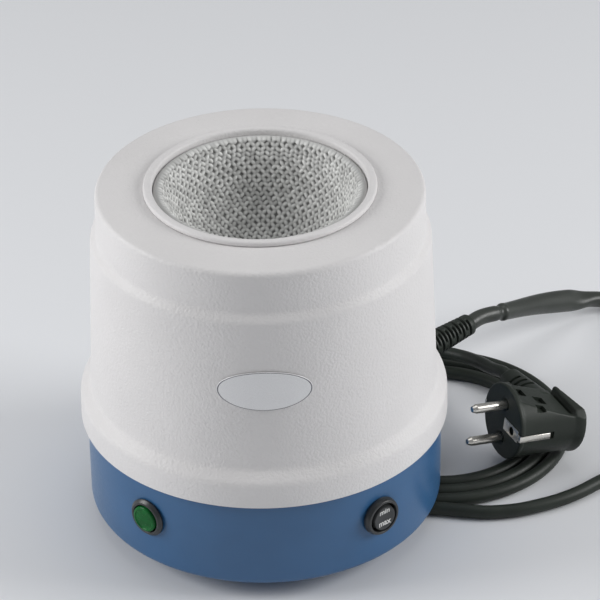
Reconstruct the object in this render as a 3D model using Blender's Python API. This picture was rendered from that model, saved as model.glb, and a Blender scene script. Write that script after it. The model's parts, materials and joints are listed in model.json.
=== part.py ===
"""A laboratory heating mantle with its mains lead.

A spun white housing stands on a blue base pan. The knitted heating nest sits in an insulated pot under
the opening. The push button and the rocker are in the front of the base, and the lead leaves at the rear
right, runs into a flat coil that lies partly under the base, and ends in an angled plug on that coil.

Frame: metres, +Z up, the mantle's axis on Z, the feet on z = 0, the front towards -Y.
Azimuths are measured from the front, positive towards +X.
"""

import math

import bmesh
import bpy
from mathutils import Matrix, Vector

MM = 0.001

# Clearances
SEAT_GAP = 0.3 * MM
RUNNING_GAP = 0.4 * MM

# Facets round a turned piece
OUTER_SIDES = 48
NEST_SIDES = 36
INNER_SIDES = 28
SMALL_SIDES = 20
PLUG_SIDES = 32
PIN_SIDES = 16
TINY_SIDES = 12

# Points on each span of a smooth curve
CURVE_POINTS = 24

# Base pan
BASE_DIAMETER = 173.6 * MM
BASE_WALL = 2.0 * MM
BASE_FLOOR = 2.4 * MM
BASE_EDGE_RADIUS = 4.0 * MM

# Feet and the posts above them
FOOT_HEIGHT = 9.0 * MM
FOOT_DIAMETER = 17.0 * MM
FOOT_CHAMFER = 1.0 * MM
FOOT_CIRCLE_RADIUS = 62.0 * MM
FOOT_RECESS_RADIUS = 4.5 * MM
FOOT_RECESS_DEPTH = 4.0 * MM
FOOT_SCREW_RADIUS = 2.0 * MM
FOOT_SCREW_HEAD_RADIUS = 3.6 * MM
FOOT_SCREW_HEAD = 2.4 * MM
FOOT_SCREW_GRIP = 12.0 * MM
FOOT_AZIMUTHS = (61.2, 181.2, 301.2)
POST_RADIUS = 4.6 * MM
POST_SIDES = 6

# Housing: heights above the floor and outer diameters
SKIRT_DIAMETER = 179.8 * MM
SKIRT_BOTTOM = 56.6 * MM
SKIRT_HEIGHT = 12.0 * MM
SKIRT_DRAFT = 0.3 * MM
SHOULDER_HEIGHT = 7.5 * MM
CONE_BOTTOM_DIAMETER = 169.0 * MM
CONE_TOP_DIAMETER = 162.9 * MM
CONE_HEIGHT = 77.5 * MM
STEP_HEIGHT = 4.5 * MM
BAND_DIAMETER = 157.1 * MM
BAND_DRAFT = 0.2 * MM
TOP_HEIGHT = 179.0 * MM
TOP_EDGE_RADIUS = 2.8 * MM
HOUSING_SHEET = 1.5 * MM

# Opening and its collar
OPENING_DIAMETER = 102.2 * MM
COLLAR_WALL = 1.8 * MM
COLLAR_LIP_WIDTH = 4.4 * MM
COLLAR_LIP_HEIGHT = 2.3 * MM
COLLAR_LIP_DRAFT = 0.3 * MM
COLLAR_DEPTH = 12.0 * MM

# Heating nest, its wire, insulation and pot
NEST_RADIUS = 43.2 * MM
NEST_CENTRE_DEPTH = 4.0 * MM
NEST_THICKNESS = 4.0 * MM
NEST_RIM_DEPTH = 1.0 * MM
NEST_FLARE_DEPTH = 13.0 * MM
NEST_ARC_STEPS = 7
CAVITY_ARC_STEPS = 6
HEATER_WIRE_RADIUS = 1.2 * MM
HEATER_TURNS = 5
HEATER_POINTS_PER_TURN = 20
HEATER_FIRST_ANGLE = 16.0
HEATER_LAST_ANGLE = 72.0
HEATER_SLACK = 0.8 * MM
INSULATION_DIAMETER = 136.0 * MM
INSULATION_BELOW_NEST = 13.0 * MM
LEAD_HOLE_RADIUS = 7.0 * MM
POT_SHEET = 1.2 * MM
POT_FLANGE_WIDTH = 4.0 * MM

# Heat shield between the hot pot and the wiring
SHIELD_HEIGHT = 86.0 * MM
SHIELD_DIAMETER = 154.0 * MM
SHIELD_SHEET = 1.2 * MM
SHIELD_RIM = 6.0 * MM

# Badge plate on the housing's front
BADGE_WIDTH = 45.0 * MM
BADGE_HEIGHT = 20.5 * MM
BADGE_THICKNESS = 0.7 * MM
BADGE_CENTRE_HEIGHT = 118.4 * MM
BADGE_AZIMUTH = 0.9
BADGE_COLUMNS = 16

# Controls in the base wall
CONTROL_HEIGHT = 36.2 * MM
CONTROL_BARREL_RADIUS = 8.6 * MM
CONTROL_NUT_RADIUS = 11.3 * MM
CONTROL_NUT_THICKNESS = 4.0 * MM
CONTROL_NUT_SEAT = 3.4 * MM
BARREL_DEPTH = 13.0 * MM
SWITCH_BODY_SIDE = 16.0 * MM
SWITCH_BODY_DEPTH = 15.0 * MM
TERMINAL_WIDTH = 4.8 * MM
TERMINAL_THICKNESS = 0.8 * MM
TERMINAL_LENGTH = 8.0 * MM
TERMINAL_PITCH = 5.0 * MM

# Power button
BUTTON_AZIMUTH = -40.0
BUTTON_BEZEL_RADIUS = 9.8 * MM
BUTTON_BEZEL_FRONT_RADIUS = 8.6 * MM
BUTTON_BEZEL_HEIGHT = 2.2 * MM
BUTTON_CAP_RADIUS = 7.2 * MM
BUTTON_CAP_PROUD = 1.1 * MM
BUTTON_CAP_LENGTH = 13.0 * MM
BUTTON_CAP_EDGE = 0.7 * MM

# Min/max rocker
ROCKER_AZIMUTH = 39.0
ROCKER_BEZEL_RADIUS = 9.9 * MM
ROCKER_BEZEL_FRONT_RADIUS = 9.1 * MM
ROCKER_BEZEL_HEIGHT = 3.4 * MM
ROCKER_BALL_RADIUS = 7.2 * MM
ROCKER_AXIS_HEIGHT = 1.3 * MM
ROCKER_CROWN = 2.9 * MM
ROCKER_DISH = 0.5 * MM
ROCKER_DEPTH = 5.0 * MM
ROCKER_PIN_RADIUS = 1.0 * MM
ROCKER_PIN_LENGTH = 16.4 * MM

# Cable gland and strain relief
GLAND_AZIMUTH = 133.5
GLAND_HEIGHT = 36.0 * MM
GLAND_THREAD_RADIUS = 6.2 * MM
GLAND_FLANGE_RADIUS = 9.5 * MM
GLAND_FLANGE_THICKNESS = 5.5 * MM
GLAND_THREAD_DEPTH = 9.0 * MM
GLAND_NUT_RADIUS = 9.0 * MM
GLAND_NUT_THICKNESS = 4.0 * MM
GLAND_NUT_SEAT = 1.2 * MM
RELIEF_LENGTH = 53.0 * MM
RELIEF_ROOT_RADIUS = 7.6 * MM
RELIEF_TIP_RADIUS = 5.7 * MM
RELIEF_RIBS = 11
RELIEF_GROOVE_DEPTH = 1.1 * MM
RELIEF_ROOT_LENGTH = 8.0 * MM
RELIEF_TIP_LENGTH = 6.0 * MM

# Terminal block
BLOCK_LENGTH = 32.0 * MM
BLOCK_WIDTH = 18.0 * MM
BLOCK_HEIGHT = 16.0 * MM
BLOCK_X = 20.0 * MM
BLOCK_Y = 26.0 * MM
BLOCK_POLE_PITCH = 10.0 * MM
BLOCK_BORE_RADIUS = 2.6 * MM
CLAMP_RADIUS = 2.3 * MM

# Internal wires
WIRE_RADIUS = 1.1 * MM
WIRE_PITCH = 2.6 * WIRE_RADIUS
NEST_WIRE_PITCH = 3.6 * MM
NEST_WIRE_DROP = 10.0 * MM

# Mains lead
CORD_DIAMETER = 6.8 * MM
SLEEVE_DIAMETER = 10.0 * MM
COIL_CENTRE = (87.0 * MM, 53.0 * MM)
COIL_OUTER_RADIUS = 71.0 * MM
COIL_PITCH = 7.5 * MM
COIL_TURNS = 3.29
COIL_START_ANGLE = -90.0
COIL_POINTS_PER_TURN = 24
ROUTE_STEP = 2.0
LEAST_COIL_GAP = 0.4 * MM
GAP_SAMPLE = 0.3
GAP_NEIGHBOURS = 4.0

# Plug: an angled mains plug lying on the coil
PLUG_FACE_CENTRE = (118.8 * MM, 20.4 * MM, 29.4 * MM)
PLUG_PIN_DIRECTION = (-0.905, -0.405, 0.13)
PLUG_CABLE_DIRECTION = (-0.41, 0.91, 0.0)
PLUG_FACE_RADIUS = 19.5 * MM
PLUG_BACK_RADIUS = 20.4 * MM
PLUG_BACK_PLATE = 5.5 * MM
PLUG_RIM = 2.0 * MM
PLUG_RIM_STEP = 0.5 * MM
PLUG_RIM_CHAMFER = 0.8 * MM
PLUG_BACK_CHAMFER = 1.6 * MM
PLUG_DEPTH = 37.5 * MM
PLUG_BACK_SLANT = 8.0
PLUG_BACK_CUT = 0.5 * MM
PLUG_HOLLOW_ROOT = 17.1 * MM
PLUG_HOLLOW_LEAN = 16.7
PLUG_HOLLOW_START = 3.0 * MM
PLUG_HOLLOW_END = 31.5 * MM
PLUG_LOWER_HOLLOW_START = 8.0 * MM
PLUG_GRIP_HALF_WIDTH = 10.3 * MM
PLUG_SHOULDER = 9.0 * MM
PLUG_SHOULDER_DEPTH = 8.0 * MM
PLUG_ARM_DEPTH = 23.0 * MM
PLUG_ARM_REACH = 36.0 * MM
PLUG_ARM_ROOT = 6.0 * MM
PLUG_ARM_ROOT_RADIUS = 10.2 * MM
PLUG_ARM_TIP_RADIUS = 6.2 * MM
PIN_RADIUS = 2.4 * MM
PIN_LENGTH = 19.0 * MM
PIN_PITCH = 19.0 * MM
PIN_SEAT = 7.0 * MM
EARTH_HOLE_RADIUS = 3.0 * MM
EARTH_HOLE_OFFSET = 10.0 * MM
EARTH_CLIP_WIDTH = 3.4 * MM
EARTH_CLIP_LENGTH = 17.0 * MM
EARTH_CLIP_FAR_LENGTH = 7.0 * MM
EARTH_CLIP_THICKNESS = 1.2 * MM

# Sizes that follow from the ones above
BASE_RADIUS = BASE_DIAMETER / 2
FLOOR_TOP = FOOT_HEIGHT + BASE_FLOOR
OPENING_RADIUS = OPENING_DIAMETER / 2
COLLAR_OUTER = OPENING_RADIUS + COLLAR_WALL
CORD_RADIUS = CORD_DIAMETER / 2
NEST_CENTRE = TOP_HEIGHT - NEST_CENTRE_DEPTH
NEST_OUTER = NEST_RADIUS + NEST_THICKNESS
CAVITY_RADIUS = NEST_OUTER + HEATER_SLACK + 2 * HEATER_WIRE_RADIUS + 2 * SEAT_GAP
POT_BOTTOM = NEST_CENTRE - CAVITY_RADIUS - INSULATION_BELOW_NEST
POT_RADIUS = INSULATION_DIAMETER / 2 + SEAT_GAP + POT_SHEET


def clear_scene():
    for obj in list(bpy.data.objects):
        bpy.data.objects.remove(obj, do_unlink=True)


def material(name, colour, roughness, metallic=0.0):
    found = bpy.data.materials.get(name)
    if found:
        return found
    made = bpy.data.materials.new(name)
    made.use_nodes = True
    shader = made.node_tree.nodes["Principled BSDF"]
    shader.inputs["Base Color"].default_value = (*colour, 1.0)
    shader.inputs["Roughness"].default_value = roughness
    shader.inputs["Metallic"].default_value = metallic
    return made


WHITE_COAT = ("white_coat", (0.72, 0.71, 0.70), 0.5, 0.0)
BLUE_BASE = ("blue_base", (0.065, 0.15, 0.33), 0.42, 0.0)
BLACK_PLASTIC = ("black_plastic", (0.02, 0.021, 0.023), 0.4, 0.0)
BLACK_RUBBER = ("black_rubber", (0.02, 0.02, 0.021), 0.65, 0.0)
GREEN_LENS = ("green_lens", (0.01, 0.12, 0.03), 0.2, 0.0)
GLASS_KNIT = ("glass_knit", (0.5, 0.51, 0.5), 0.8, 0.0)
MINERAL_WOOL = ("mineral_wool", (0.7, 0.66, 0.55), 0.95, 0.0)
ALUMINIUM = ("aluminium", (0.8, 0.81, 0.82), 0.35, 1.0)
STEEL = ("steel", (0.62, 0.62, 0.63), 0.3, 1.0)
NICKEL = ("nickel", (0.75, 0.73, 0.69), 0.18, 1.0)
BRASS = ("brass", (0.78, 0.58, 0.27), 0.3, 1.0)
CERAMIC = ("ceramic", (0.8, 0.78, 0.73), 0.5, 0.0)
BADGE_FOIL = ("badge_foil", (0.66, 0.67, 0.69), 0.35, 0.6)
HEATER_ALLOY = ("heater_alloy", (0.3, 0.28, 0.27), 0.5, 1.0)
WIRE_BROWN = ("wire_brown", (0.16, 0.06, 0.03), 0.5, 0.0)
WIRE_BLUE = ("wire_blue", (0.03, 0.1, 0.4), 0.5, 0.0)
WIRE_EARTH = ("wire_earth", (0.35, 0.42, 0.04), 0.5, 0.0)
WIRE_WHITE = ("wire_white", (0.75, 0.74, 0.7), 0.6, 0.0)


def placed(name, data, finish, matrix=None):
    obj = bpy.data.objects.new(name, data)
    bpy.context.collection.objects.link(obj)
    if finish:
        data.materials.append(material(*finish))
    if matrix:
        obj.matrix_world = matrix
    return obj


def mesh_of(name, work):
    bmesh.ops.recalc_face_normals(work, faces=work.faces)
    mesh = bpy.data.meshes.new(name)
    work.to_mesh(mesh)
    work.free()
    mesh.shade_smooth()
    mesh.set_sharp_from_angle(angle=math.radians(32))
    return mesh


def turned(name, profile, finish, sides=SMALL_SIDES, matrix=None):
    """A solid turned about Z from an outline of (radius, height) points, closed back to its start."""
    work = bmesh.new()
    rings = []
    for radius, height in profile:
        if radius == 0:
            rings.append([work.verts.new((0, 0, height))] * sides)
            continue
        turn = [2 * math.pi * i / sides for i in range(sides)]
        rings.append([work.verts.new((radius * math.cos(a), radius * math.sin(a), height)) for a in turn])
    for here, there in zip(rings, rings[1:] + rings[:1]):
        for i in range(sides):
            corners = [here[i], here[(i + 1) % sides], there[(i + 1) % sides], there[i]]
            distinct = list(dict.fromkeys(corners))
            if len(distinct) > 2:
                work.faces.new(distinct)
    return placed(name, mesh_of(name, work), finish, matrix)


def disc(radius, low, high, edge=0.0):
    """Outline of a plain cylinder, with its upper edge broken by a small chamfer."""
    if edge == 0:
        return [(0, low), (radius, low), (radius, high), (0, high)]
    return [(0, low), (radius, low), (radius, high - edge), (radius - edge, high), (0, high)]


def ring(inner, outer, low, high):
    return [(inner, low), (outer, low), (outer, high), (inner, high)]


def box(name, size, centre, finish, matrix=None):
    work = bmesh.new()
    bmesh.ops.create_cube(work, size=1.0)
    bmesh.ops.scale(work, vec=size, verts=work.verts)
    bmesh.ops.translate(work, vec=centre, verts=work.verts)
    return placed(name, mesh_of(name, work), finish, matrix)


def cutter(obj):
    obj.hide_render = True
    obj.display_type = "WIRE"
    return obj


def combine(obj, other, operation="DIFFERENCE"):
    step = obj.modifiers.new(other.name, "BOOLEAN")
    step.operation = operation
    step.object = cutter(other)
    return obj


def tube(name, points, radius, finish, resolution):
    curve = bpy.data.curves.new(name, "CURVE")
    curve.dimensions = "3D"
    curve.bevel_depth = radius
    curve.bevel_resolution = resolution
    curve.use_fill_caps = True
    spline = curve.splines.new("POLY")
    spline.points.add(len(points) - 1)
    for point, place in zip(spline.points, points):
        point.co = (*place, 1.0)
    return placed(name, curve, finish)


def millimetres(points):
    return [Vector(p) * MM for p in points]


def smooth_curve(points):
    """Dense points on a smooth curve through the given ones."""
    padded = [2 * points[0] - points[1], *points, 2 * points[-1] - points[-2]]
    dense = []
    for a, b, c, d in zip(padded, padded[1:], padded[2:], padded[3:]):
        for i in range(CURVE_POINTS):
            t = i / CURVE_POINTS
            bend = (2 * a - 5 * b + 4 * c - d) * t**2 + (3 * b - a - 3 * c + d) * t**3
            dense.append(b + (c - a) * t / 2 + bend / 2)
    dense.append(points[-1])
    return dense


def evenly(dense, step):
    """Points about step apart along a dense line, both ends kept."""
    along = [0.0]
    for a, b in zip(dense, dense[1:]):
        along.append(along[-1] + (b - a).length)
    count = max(2, round(along[-1] / step) + 1)
    picked = []
    k = 0
    for i in range(count):
        want = along[-1] * i / (count - 1)
        while k < len(along) - 2 and along[k + 1] < want:
            k += 1
        span = along[k + 1] - along[k]
        picked.append(dense[k].lerp(dense[k + 1], (want - along[k]) / span if span else 0.0))
    return picked


def route(points, diameter):
    """A cord's points: a smooth curve with a straight run at each end."""
    inner = smooth_curve(points)[CURVE_POINTS:-CURVE_POINTS]
    return [points[0], *evenly(inner, ROUTE_STEP * diameter), points[-1]]


def length_of(points):
    return sum((b - a).length for a, b in zip(points, points[1:]))


def wall_frame(azimuth, height, radius):
    """A frame on a round wall: X to the right seen from outside, Y up, Z outwards."""
    a = math.radians(azimuth)
    right = Vector((math.cos(a), math.sin(a), 0))
    outward = Vector((math.sin(a), -math.cos(a), 0))
    frame = Matrix((right, Vector((0, 0, 1)), outward)).transposed().to_4x4()
    frame.translation = outward * radius + Vector((0, 0, height))
    return frame


def floor_place(azimuth, radius):
    a = math.radians(azimuth)
    return Vector((math.sin(a) * radius, -math.cos(a) * radius, 0))


def arc(centre, radius, angles):
    """Outline points round a centre, at angles in degrees from straight out."""
    turns = [math.radians(angle) for angle in angles]
    return [(centre[0] + radius * math.cos(a), centre[1] + radius * math.sin(a)) for a in turns]


def inset(outline, depth):
    """The outline again, moved to its left by the sheet's thickness, with mitred corners."""
    moved = []
    for i, here in enumerate(outline):
        before = outline[max(i - 1, 0)]
        after = outline[min(i + 1, len(outline) - 1)]
        sides = []
        for a, b in ((before, here), (here, after)):
            along = Vector(b) - Vector(a)
            if along.length > 0:
                sides.append(Vector((-along.y, along.x)).normalized())
        normal = (sides[0] + sides[-1]).normalized()
        moved.append(tuple(Vector(here) + normal * depth / max(normal.dot(sides[0]), 0.5)))
    return moved


def height_at(outline, radius):
    """Height of the first stretch of an outline that crosses a radius."""
    for (r0, z0), (r1, z1) in zip(outline, outline[1:]):
        if min(r0, r1) <= radius <= max(r0, r1) and r0 != r1:
            return z0 + (z1 - z0) * (radius - r0) / (r1 - r0)
    return outline[-1][1]


def housing_outline():
    """Outer outline of the housing from the skirt's edge up to the opening."""
    skirt = SKIRT_DIAMETER / 2
    low = CONE_BOTTOM_DIAMETER / 2
    high = CONE_TOP_DIAMETER / 2
    band = BAND_DIAMETER / 2
    skirt_top = SKIRT_BOTTOM + SKIRT_HEIGHT
    cone_bottom = skirt_top + SHOULDER_HEIGHT
    cone_top = cone_bottom + CONE_HEIGHT
    band_bottom = cone_top + STEP_HEIGHT
    points = [(skirt, SKIRT_BOTTOM), (skirt - SKIRT_DRAFT, skirt_top)]
    drop = skirt - low
    points.append((skirt - 0.22 * drop, skirt_top + 0.3 * SHOULDER_HEIGHT))
    points.append((low + 0.16 * drop, cone_bottom - 0.3 * SHOULDER_HEIGHT))
    points += [(low, cone_bottom), (high, cone_top)]
    points.append((band + 0.35 * (high - band), cone_top + 0.55 * STEP_HEIGHT))
    points.append((band, band_bottom))
    edge_centre = (band - BAND_DRAFT - TOP_EDGE_RADIUS, TOP_HEIGHT - TOP_EDGE_RADIUS)
    points += arc(edge_centre, TOP_EDGE_RADIUS, (0, 30, 60, 90))
    points.append((COLLAR_OUTER + SEAT_GAP, TOP_HEIGHT))
    return points


def cone_radius(height):
    """Outer radius of the housing's cone at a height."""
    bottom = SKIRT_BOTTOM + SKIRT_HEIGHT + SHOULDER_HEIGHT
    share = (height - bottom) / CONE_HEIGHT
    return (CONE_BOTTOM_DIAMETER + share * (CONE_TOP_DIAMETER - CONE_BOTTOM_DIAMETER)) / 2


def make_housing():
    outer = housing_outline()
    inner = inset(outer, HOUSING_SHEET)
    turned("outer_housing", outer + inner[::-1], WHITE_COAT, OUTER_SIDES)
    shoulder = inner[1:5]
    return height_at(shoulder, BASE_RADIUS) - SEAT_GAP


def make_badge():
    """A thin oval plate bent to the cone, with a broken edge."""
    frame_azimuth = math.radians(BADGE_AZIMUTH)
    work = bmesh.new()
    columns = []
    for i in range(1, BADGE_COLUMNS):
        across = -math.cos(math.pi * i / BADGE_COLUMNS) * BADGE_WIDTH / 2
        up = math.sin(math.pi * i / BADGE_COLUMNS) * BADGE_HEIGHT / 2
        columns.append([(across, -up), (across, up)])
    ends = [[(-BADGE_WIDTH / 2, 0)], [(BADGE_WIDTH / 2, 0)]]
    sheets = []
    for lift in (SEAT_GAP, SEAT_GAP + BADGE_THICKNESS):
        rows = []
        for column in [ends[0], *columns, ends[1]]:
            row = []
            for across, up in column:
                height = BADGE_CENTRE_HEIGHT + up
                radius = cone_radius(height) + lift
                a = frame_azimuth + across / radius
                row.append(work.verts.new((math.sin(a) * radius, -math.cos(a) * radius, height)))
            rows.append(row)
        sheets.append(rows)
    outline = []
    for rows in sheets:
        for here, there in zip(rows, rows[1:]):
            work.faces.new(list(dict.fromkeys([here[0], there[0], there[-1], here[-1]])))
        outline.append([r[0] for r in rows] + [r[-1] for r in rows[-2:0:-1]])
    for i in range(len(outline[0])):
        j = (i + 1) % len(outline[0])
        work.faces.new([outline[0][i], outline[0][j], outline[1][j], outline[1][i]])
    placed("badge_plate", mesh_of("badge_plate", work), BADGE_FOIL)


def make_collar():
    low = TOP_HEIGHT - COLLAR_DEPTH
    seat = TOP_HEIGHT + SEAT_GAP
    high = seat + COLLAR_LIP_HEIGHT
    lip = OPENING_RADIUS + COLLAR_LIP_WIDTH
    bow = 0.3 * COLLAR_LIP_WIDTH
    profile = [(OPENING_RADIUS, low), (COLLAR_OUTER, low), (COLLAR_OUTER, seat), (lip, seat)]
    profile += [(lip - COLLAR_LIP_DRAFT, seat + 0.55 * COLLAR_LIP_HEIGHT), (lip - bow, high)]
    profile += [(OPENING_RADIUS + bow, high), (OPENING_RADIUS, seat + 0.3 * COLLAR_LIP_HEIGHT)]
    turned("collar_ring", profile, WHITE_COAT, OUTER_SIDES)


def nest_outline(extra):
    """Outline of the nest's inside, or of its outside where extra is its thickness, from the rim down."""
    rim = OPENING_RADIUS - SEAT_GAP - NEST_THICKNESS + extra
    flare = math.asin(NEST_FLARE_DEPTH / (NEST_RADIUS + NEST_THICKNESS))
    radius = NEST_RADIUS + extra
    points = [(rim, TOP_HEIGHT - NEST_RIM_DEPTH)]
    for i in range(NEST_ARC_STEPS + 1):
        angle = flare + (math.pi / 2 - flare) * i / NEST_ARC_STEPS
        away = radius * math.cos(angle) if i < NEST_ARC_STEPS else 0.0
        points.append((away, NEST_CENTRE - radius * math.sin(angle)))
    return points


def make_nest():
    inside = nest_outline(0)
    outside = nest_outline(NEST_THICKNESS)
    rim_middle = OPENING_RADIUS - SEAT_GAP - NEST_THICKNESS / 2
    rim_top = TOP_HEIGHT - NEST_RIM_DEPTH + NEST_THICKNESS / 3
    turned("heating_nest", [*inside[::-1], (rim_middle, rim_top), *outside], GLASS_KNIT, NEST_SIDES)


def make_heater_wire():
    away = NEST_OUTER + HEATER_SLACK + HEATER_WIRE_RADIUS
    count = HEATER_TURNS * HEATER_POINTS_PER_TURN
    points = []
    for i in range(count + 1):
        share = i / count
        tilt = math.radians(HEATER_FIRST_ANGLE + (HEATER_LAST_ANGLE - HEATER_FIRST_ANGLE) * share)
        turn = 2 * math.pi * HEATER_TURNS * share
        flat = away * math.sin(tilt)
        points.append(
            Vector((flat * math.cos(turn), flat * math.sin(turn), NEST_CENTRE - away * math.cos(tilt)))
        )
    tube("heater_winding", points, HEATER_WIRE_RADIUS, HEATER_ALLOY, 0)


def make_insulation():
    outer = INSULATION_DIAMETER / 2
    bottom = POT_BOTTOM
    ledge = TOP_HEIGHT - COLLAR_DEPTH - SEAT_GAP
    top = TOP_HEIGHT - HOUSING_SHEET - 2 * SEAT_GAP
    mouth = math.sqrt(CAVITY_RADIUS**2 - (NEST_CENTRE - ledge) ** 2)
    hole = math.asin(LEAD_HOLE_RADIUS / CAVITY_RADIUS)
    first = math.acos((NEST_CENTRE - ledge) / CAVITY_RADIUS)
    profile = [(LEAD_HOLE_RADIUS, bottom), (outer, bottom), (outer, top)]
    neck = COLLAR_OUTER + 3 * SEAT_GAP
    profile += [(neck, top), (neck, ledge), (mouth, ledge)]
    for i in range(1, CAVITY_ARC_STEPS + 1):
        tilt = first + (hole - first) * i / CAVITY_ARC_STEPS
        profile.append((CAVITY_RADIUS * math.sin(tilt), NEST_CENTRE - CAVITY_RADIUS * math.cos(tilt)))
    turned("insulation_bowl", profile, MINERAL_WOOL, INNER_SIDES)


def make_pot():
    inner = POT_RADIUS - POT_SHEET
    floor = POT_BOTTOM - SEAT_GAP
    top = TOP_HEIGHT - HOUSING_SHEET - SEAT_GAP
    flange = POT_RADIUS + POT_FLANGE_WIDTH
    profile = [(LEAD_HOLE_RADIUS, floor - POT_SHEET), (POT_RADIUS, floor - POT_SHEET)]
    profile += [(POT_RADIUS, top - POT_SHEET), (flange, top - POT_SHEET), (flange, top), (inner, top)]
    profile += [(inner, floor), (LEAD_HOLE_RADIUS, floor)]
    turned("support_pot", profile, ALUMINIUM, INNER_SIDES)
    return floor - POT_SHEET


def make_shield():
    edge = SHIELD_DIAMETER / 2
    top = SHIELD_HEIGHT + SHIELD_SHEET
    rim = SHIELD_HEIGHT + SHIELD_RIM
    profile = [(LEAD_HOLE_RADIUS, SHIELD_HEIGHT), (edge, SHIELD_HEIGHT), (edge, rim)]
    profile += [(edge - SHIELD_SHEET, rim), (edge - SHIELD_SHEET, top), (LEAD_HOLE_RADIUS, top)]
    turned("heat_shield", profile, ALUMINIUM, INNER_SIDES)


def make_base(rim):
    inner = BASE_RADIUS - BASE_WALL
    centre = (BASE_RADIUS - BASE_EDGE_RADIUS, FOOT_HEIGHT + BASE_EDGE_RADIUS)
    outer = [(0, FOOT_HEIGHT), *arc(centre, BASE_EDGE_RADIUS, (-90, -60, -30, 0))]
    fillet = BASE_EDGE_RADIUS - BASE_WALL
    inside = [(inner, rim), (inner, FLOOR_TOP + fillet), (inner - fillet, FLOOR_TOP), (0, FLOOR_TOP)]
    base = turned("base_pan", [*outer, (BASE_RADIUS, rim), *inside], BLUE_BASE, OUTER_SIDES)
    depth = 4 * (BASE_WALL + BASE_EDGE_RADIUS)
    places = [(GLAND_AZIMUTH, GLAND_HEIGHT, GLAND_THREAD_RADIUS)]
    for azimuth in (BUTTON_AZIMUTH, ROCKER_AZIMUTH):
        places.append((azimuth, CONTROL_HEIGHT, CONTROL_BARREL_RADIUS))
    for azimuth, height, radius in places:
        frame = wall_frame(azimuth, height, BASE_RADIUS)
        hole = turned("wall_hole", disc(radius + SEAT_GAP, -depth, depth), None, SMALL_SIDES, frame)
        combine(base, hole)
    for azimuth in FOOT_AZIMUTHS:
        frame = Matrix.Translation(floor_place(azimuth, FOOT_CIRCLE_RADIUS))
        through = disc(FOOT_SCREW_RADIUS + SEAT_GAP, 0, 2 * FLOOR_TOP)
        combine(base, turned("floor_hole", through, None, SMALL_SIDES, frame))


def make_feet_and_posts(pot_floor):
    seat = FOOT_HEIGHT - SEAT_GAP
    radius = FOOT_DIAMETER / 2
    shaft = FOOT_SCREW_RADIUS + SEAT_GAP
    recess = FOOT_RECESS_DEPTH
    foot = [(FOOT_RECESS_RADIUS, 0), (radius - FOOT_CHAMFER, 0), (radius, FOOT_CHAMFER), (radius, seat)]
    foot += [(shaft, seat), (shaft, recess), (FOOT_RECESS_RADIUS, recess)]
    head_low = recess - SEAT_GAP - FOOT_SCREW_HEAD
    post_low = FLOOR_TOP + SEAT_GAP
    post_high = SHIELD_HEIGHT - SEAT_GAP
    tip = post_low + FOOT_SCREW_GRIP
    screw = [(0, head_low), (FOOT_SCREW_HEAD_RADIUS, head_low)]
    screw += [(FOOT_SCREW_HEAD_RADIUS, recess - SEAT_GAP), (FOOT_SCREW_RADIUS, recess - SEAT_GAP)]
    screw += [(FOOT_SCREW_RADIUS, tip), (0, tip)]
    lower = [(0, tip + SEAT_GAP), (shaft, tip + SEAT_GAP), (shaft, post_low), (POST_RADIUS, post_low)]
    lower += [(POST_RADIUS, post_high), (0, post_high)]
    upper = disc(POST_RADIUS, SHIELD_HEIGHT + SHIELD_SHEET + SEAT_GAP, pot_floor - SEAT_GAP)
    for i, azimuth in enumerate(FOOT_AZIMUTHS, 1):
        frame = Matrix.Translation(floor_place(azimuth, FOOT_CIRCLE_RADIUS))
        turned(f"rubber_foot_{i}", foot, BLACK_RUBBER, SMALL_SIDES, frame)
        turned(f"foot_screw_{i}", screw, STEEL, TINY_SIDES, frame)
        turned(f"lower_post_{i}", lower, STEEL, POST_SIDES * 2, frame)
        turned(f"upper_post_{i}", upper, STEEL, POST_SIDES, frame)


def control_nut(name, frame):
    low = -BASE_WALL - CONTROL_NUT_SEAT + SEAT_GAP
    bore = CONTROL_BARREL_RADIUS + SEAT_GAP
    profile = ring(bore, CONTROL_NUT_RADIUS, low - CONTROL_NUT_THICKNESS, low)
    turned(name, profile, BLACK_PLASTIC, SMALL_SIDES, frame)


def switch_body(name, frame, terminals):
    """The switch behind a barrel, and its blade terminals in a row across."""
    front = -BARREL_DEPTH - SEAT_GAP
    back = front - SWITCH_BODY_DEPTH
    centre = (0, 0, (front + back) / 2)
    case = (SWITCH_BODY_SIDE, SWITCH_BODY_SIDE, SWITCH_BODY_DEPTH)
    box(f"{name}_body", case, centre, BLACK_PLASTIC, frame)
    size = (TERMINAL_THICKNESS, TERMINAL_WIDTH, TERMINAL_LENGTH)
    tips = []
    for i in range(terminals):
        across = (i - (terminals - 1) / 2) * TERMINAL_PITCH
        middle = (across, 0, back - SEAT_GAP - TERMINAL_LENGTH / 2)
        box(f"{name}_terminal_{i + 1}", size, middle, BRASS, frame)
        tip = frame @ Vector((across, 0, back - 2 * SEAT_GAP - TERMINAL_LENGTH))
        tips.append((tip, frame.to_3x3() @ Vector((0, 0, -1))))
    return tips


def bezel_profile(flange, front, height, bore):
    low = SEAT_GAP
    profile = [(bore, -BARREL_DEPTH), (CONTROL_BARREL_RADIUS, -BARREL_DEPTH), (CONTROL_BARREL_RADIUS, low)]
    profile += [(flange, low), (flange, low + 0.3 * height), (front, low + height), (bore, low + height)]
    return profile


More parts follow.
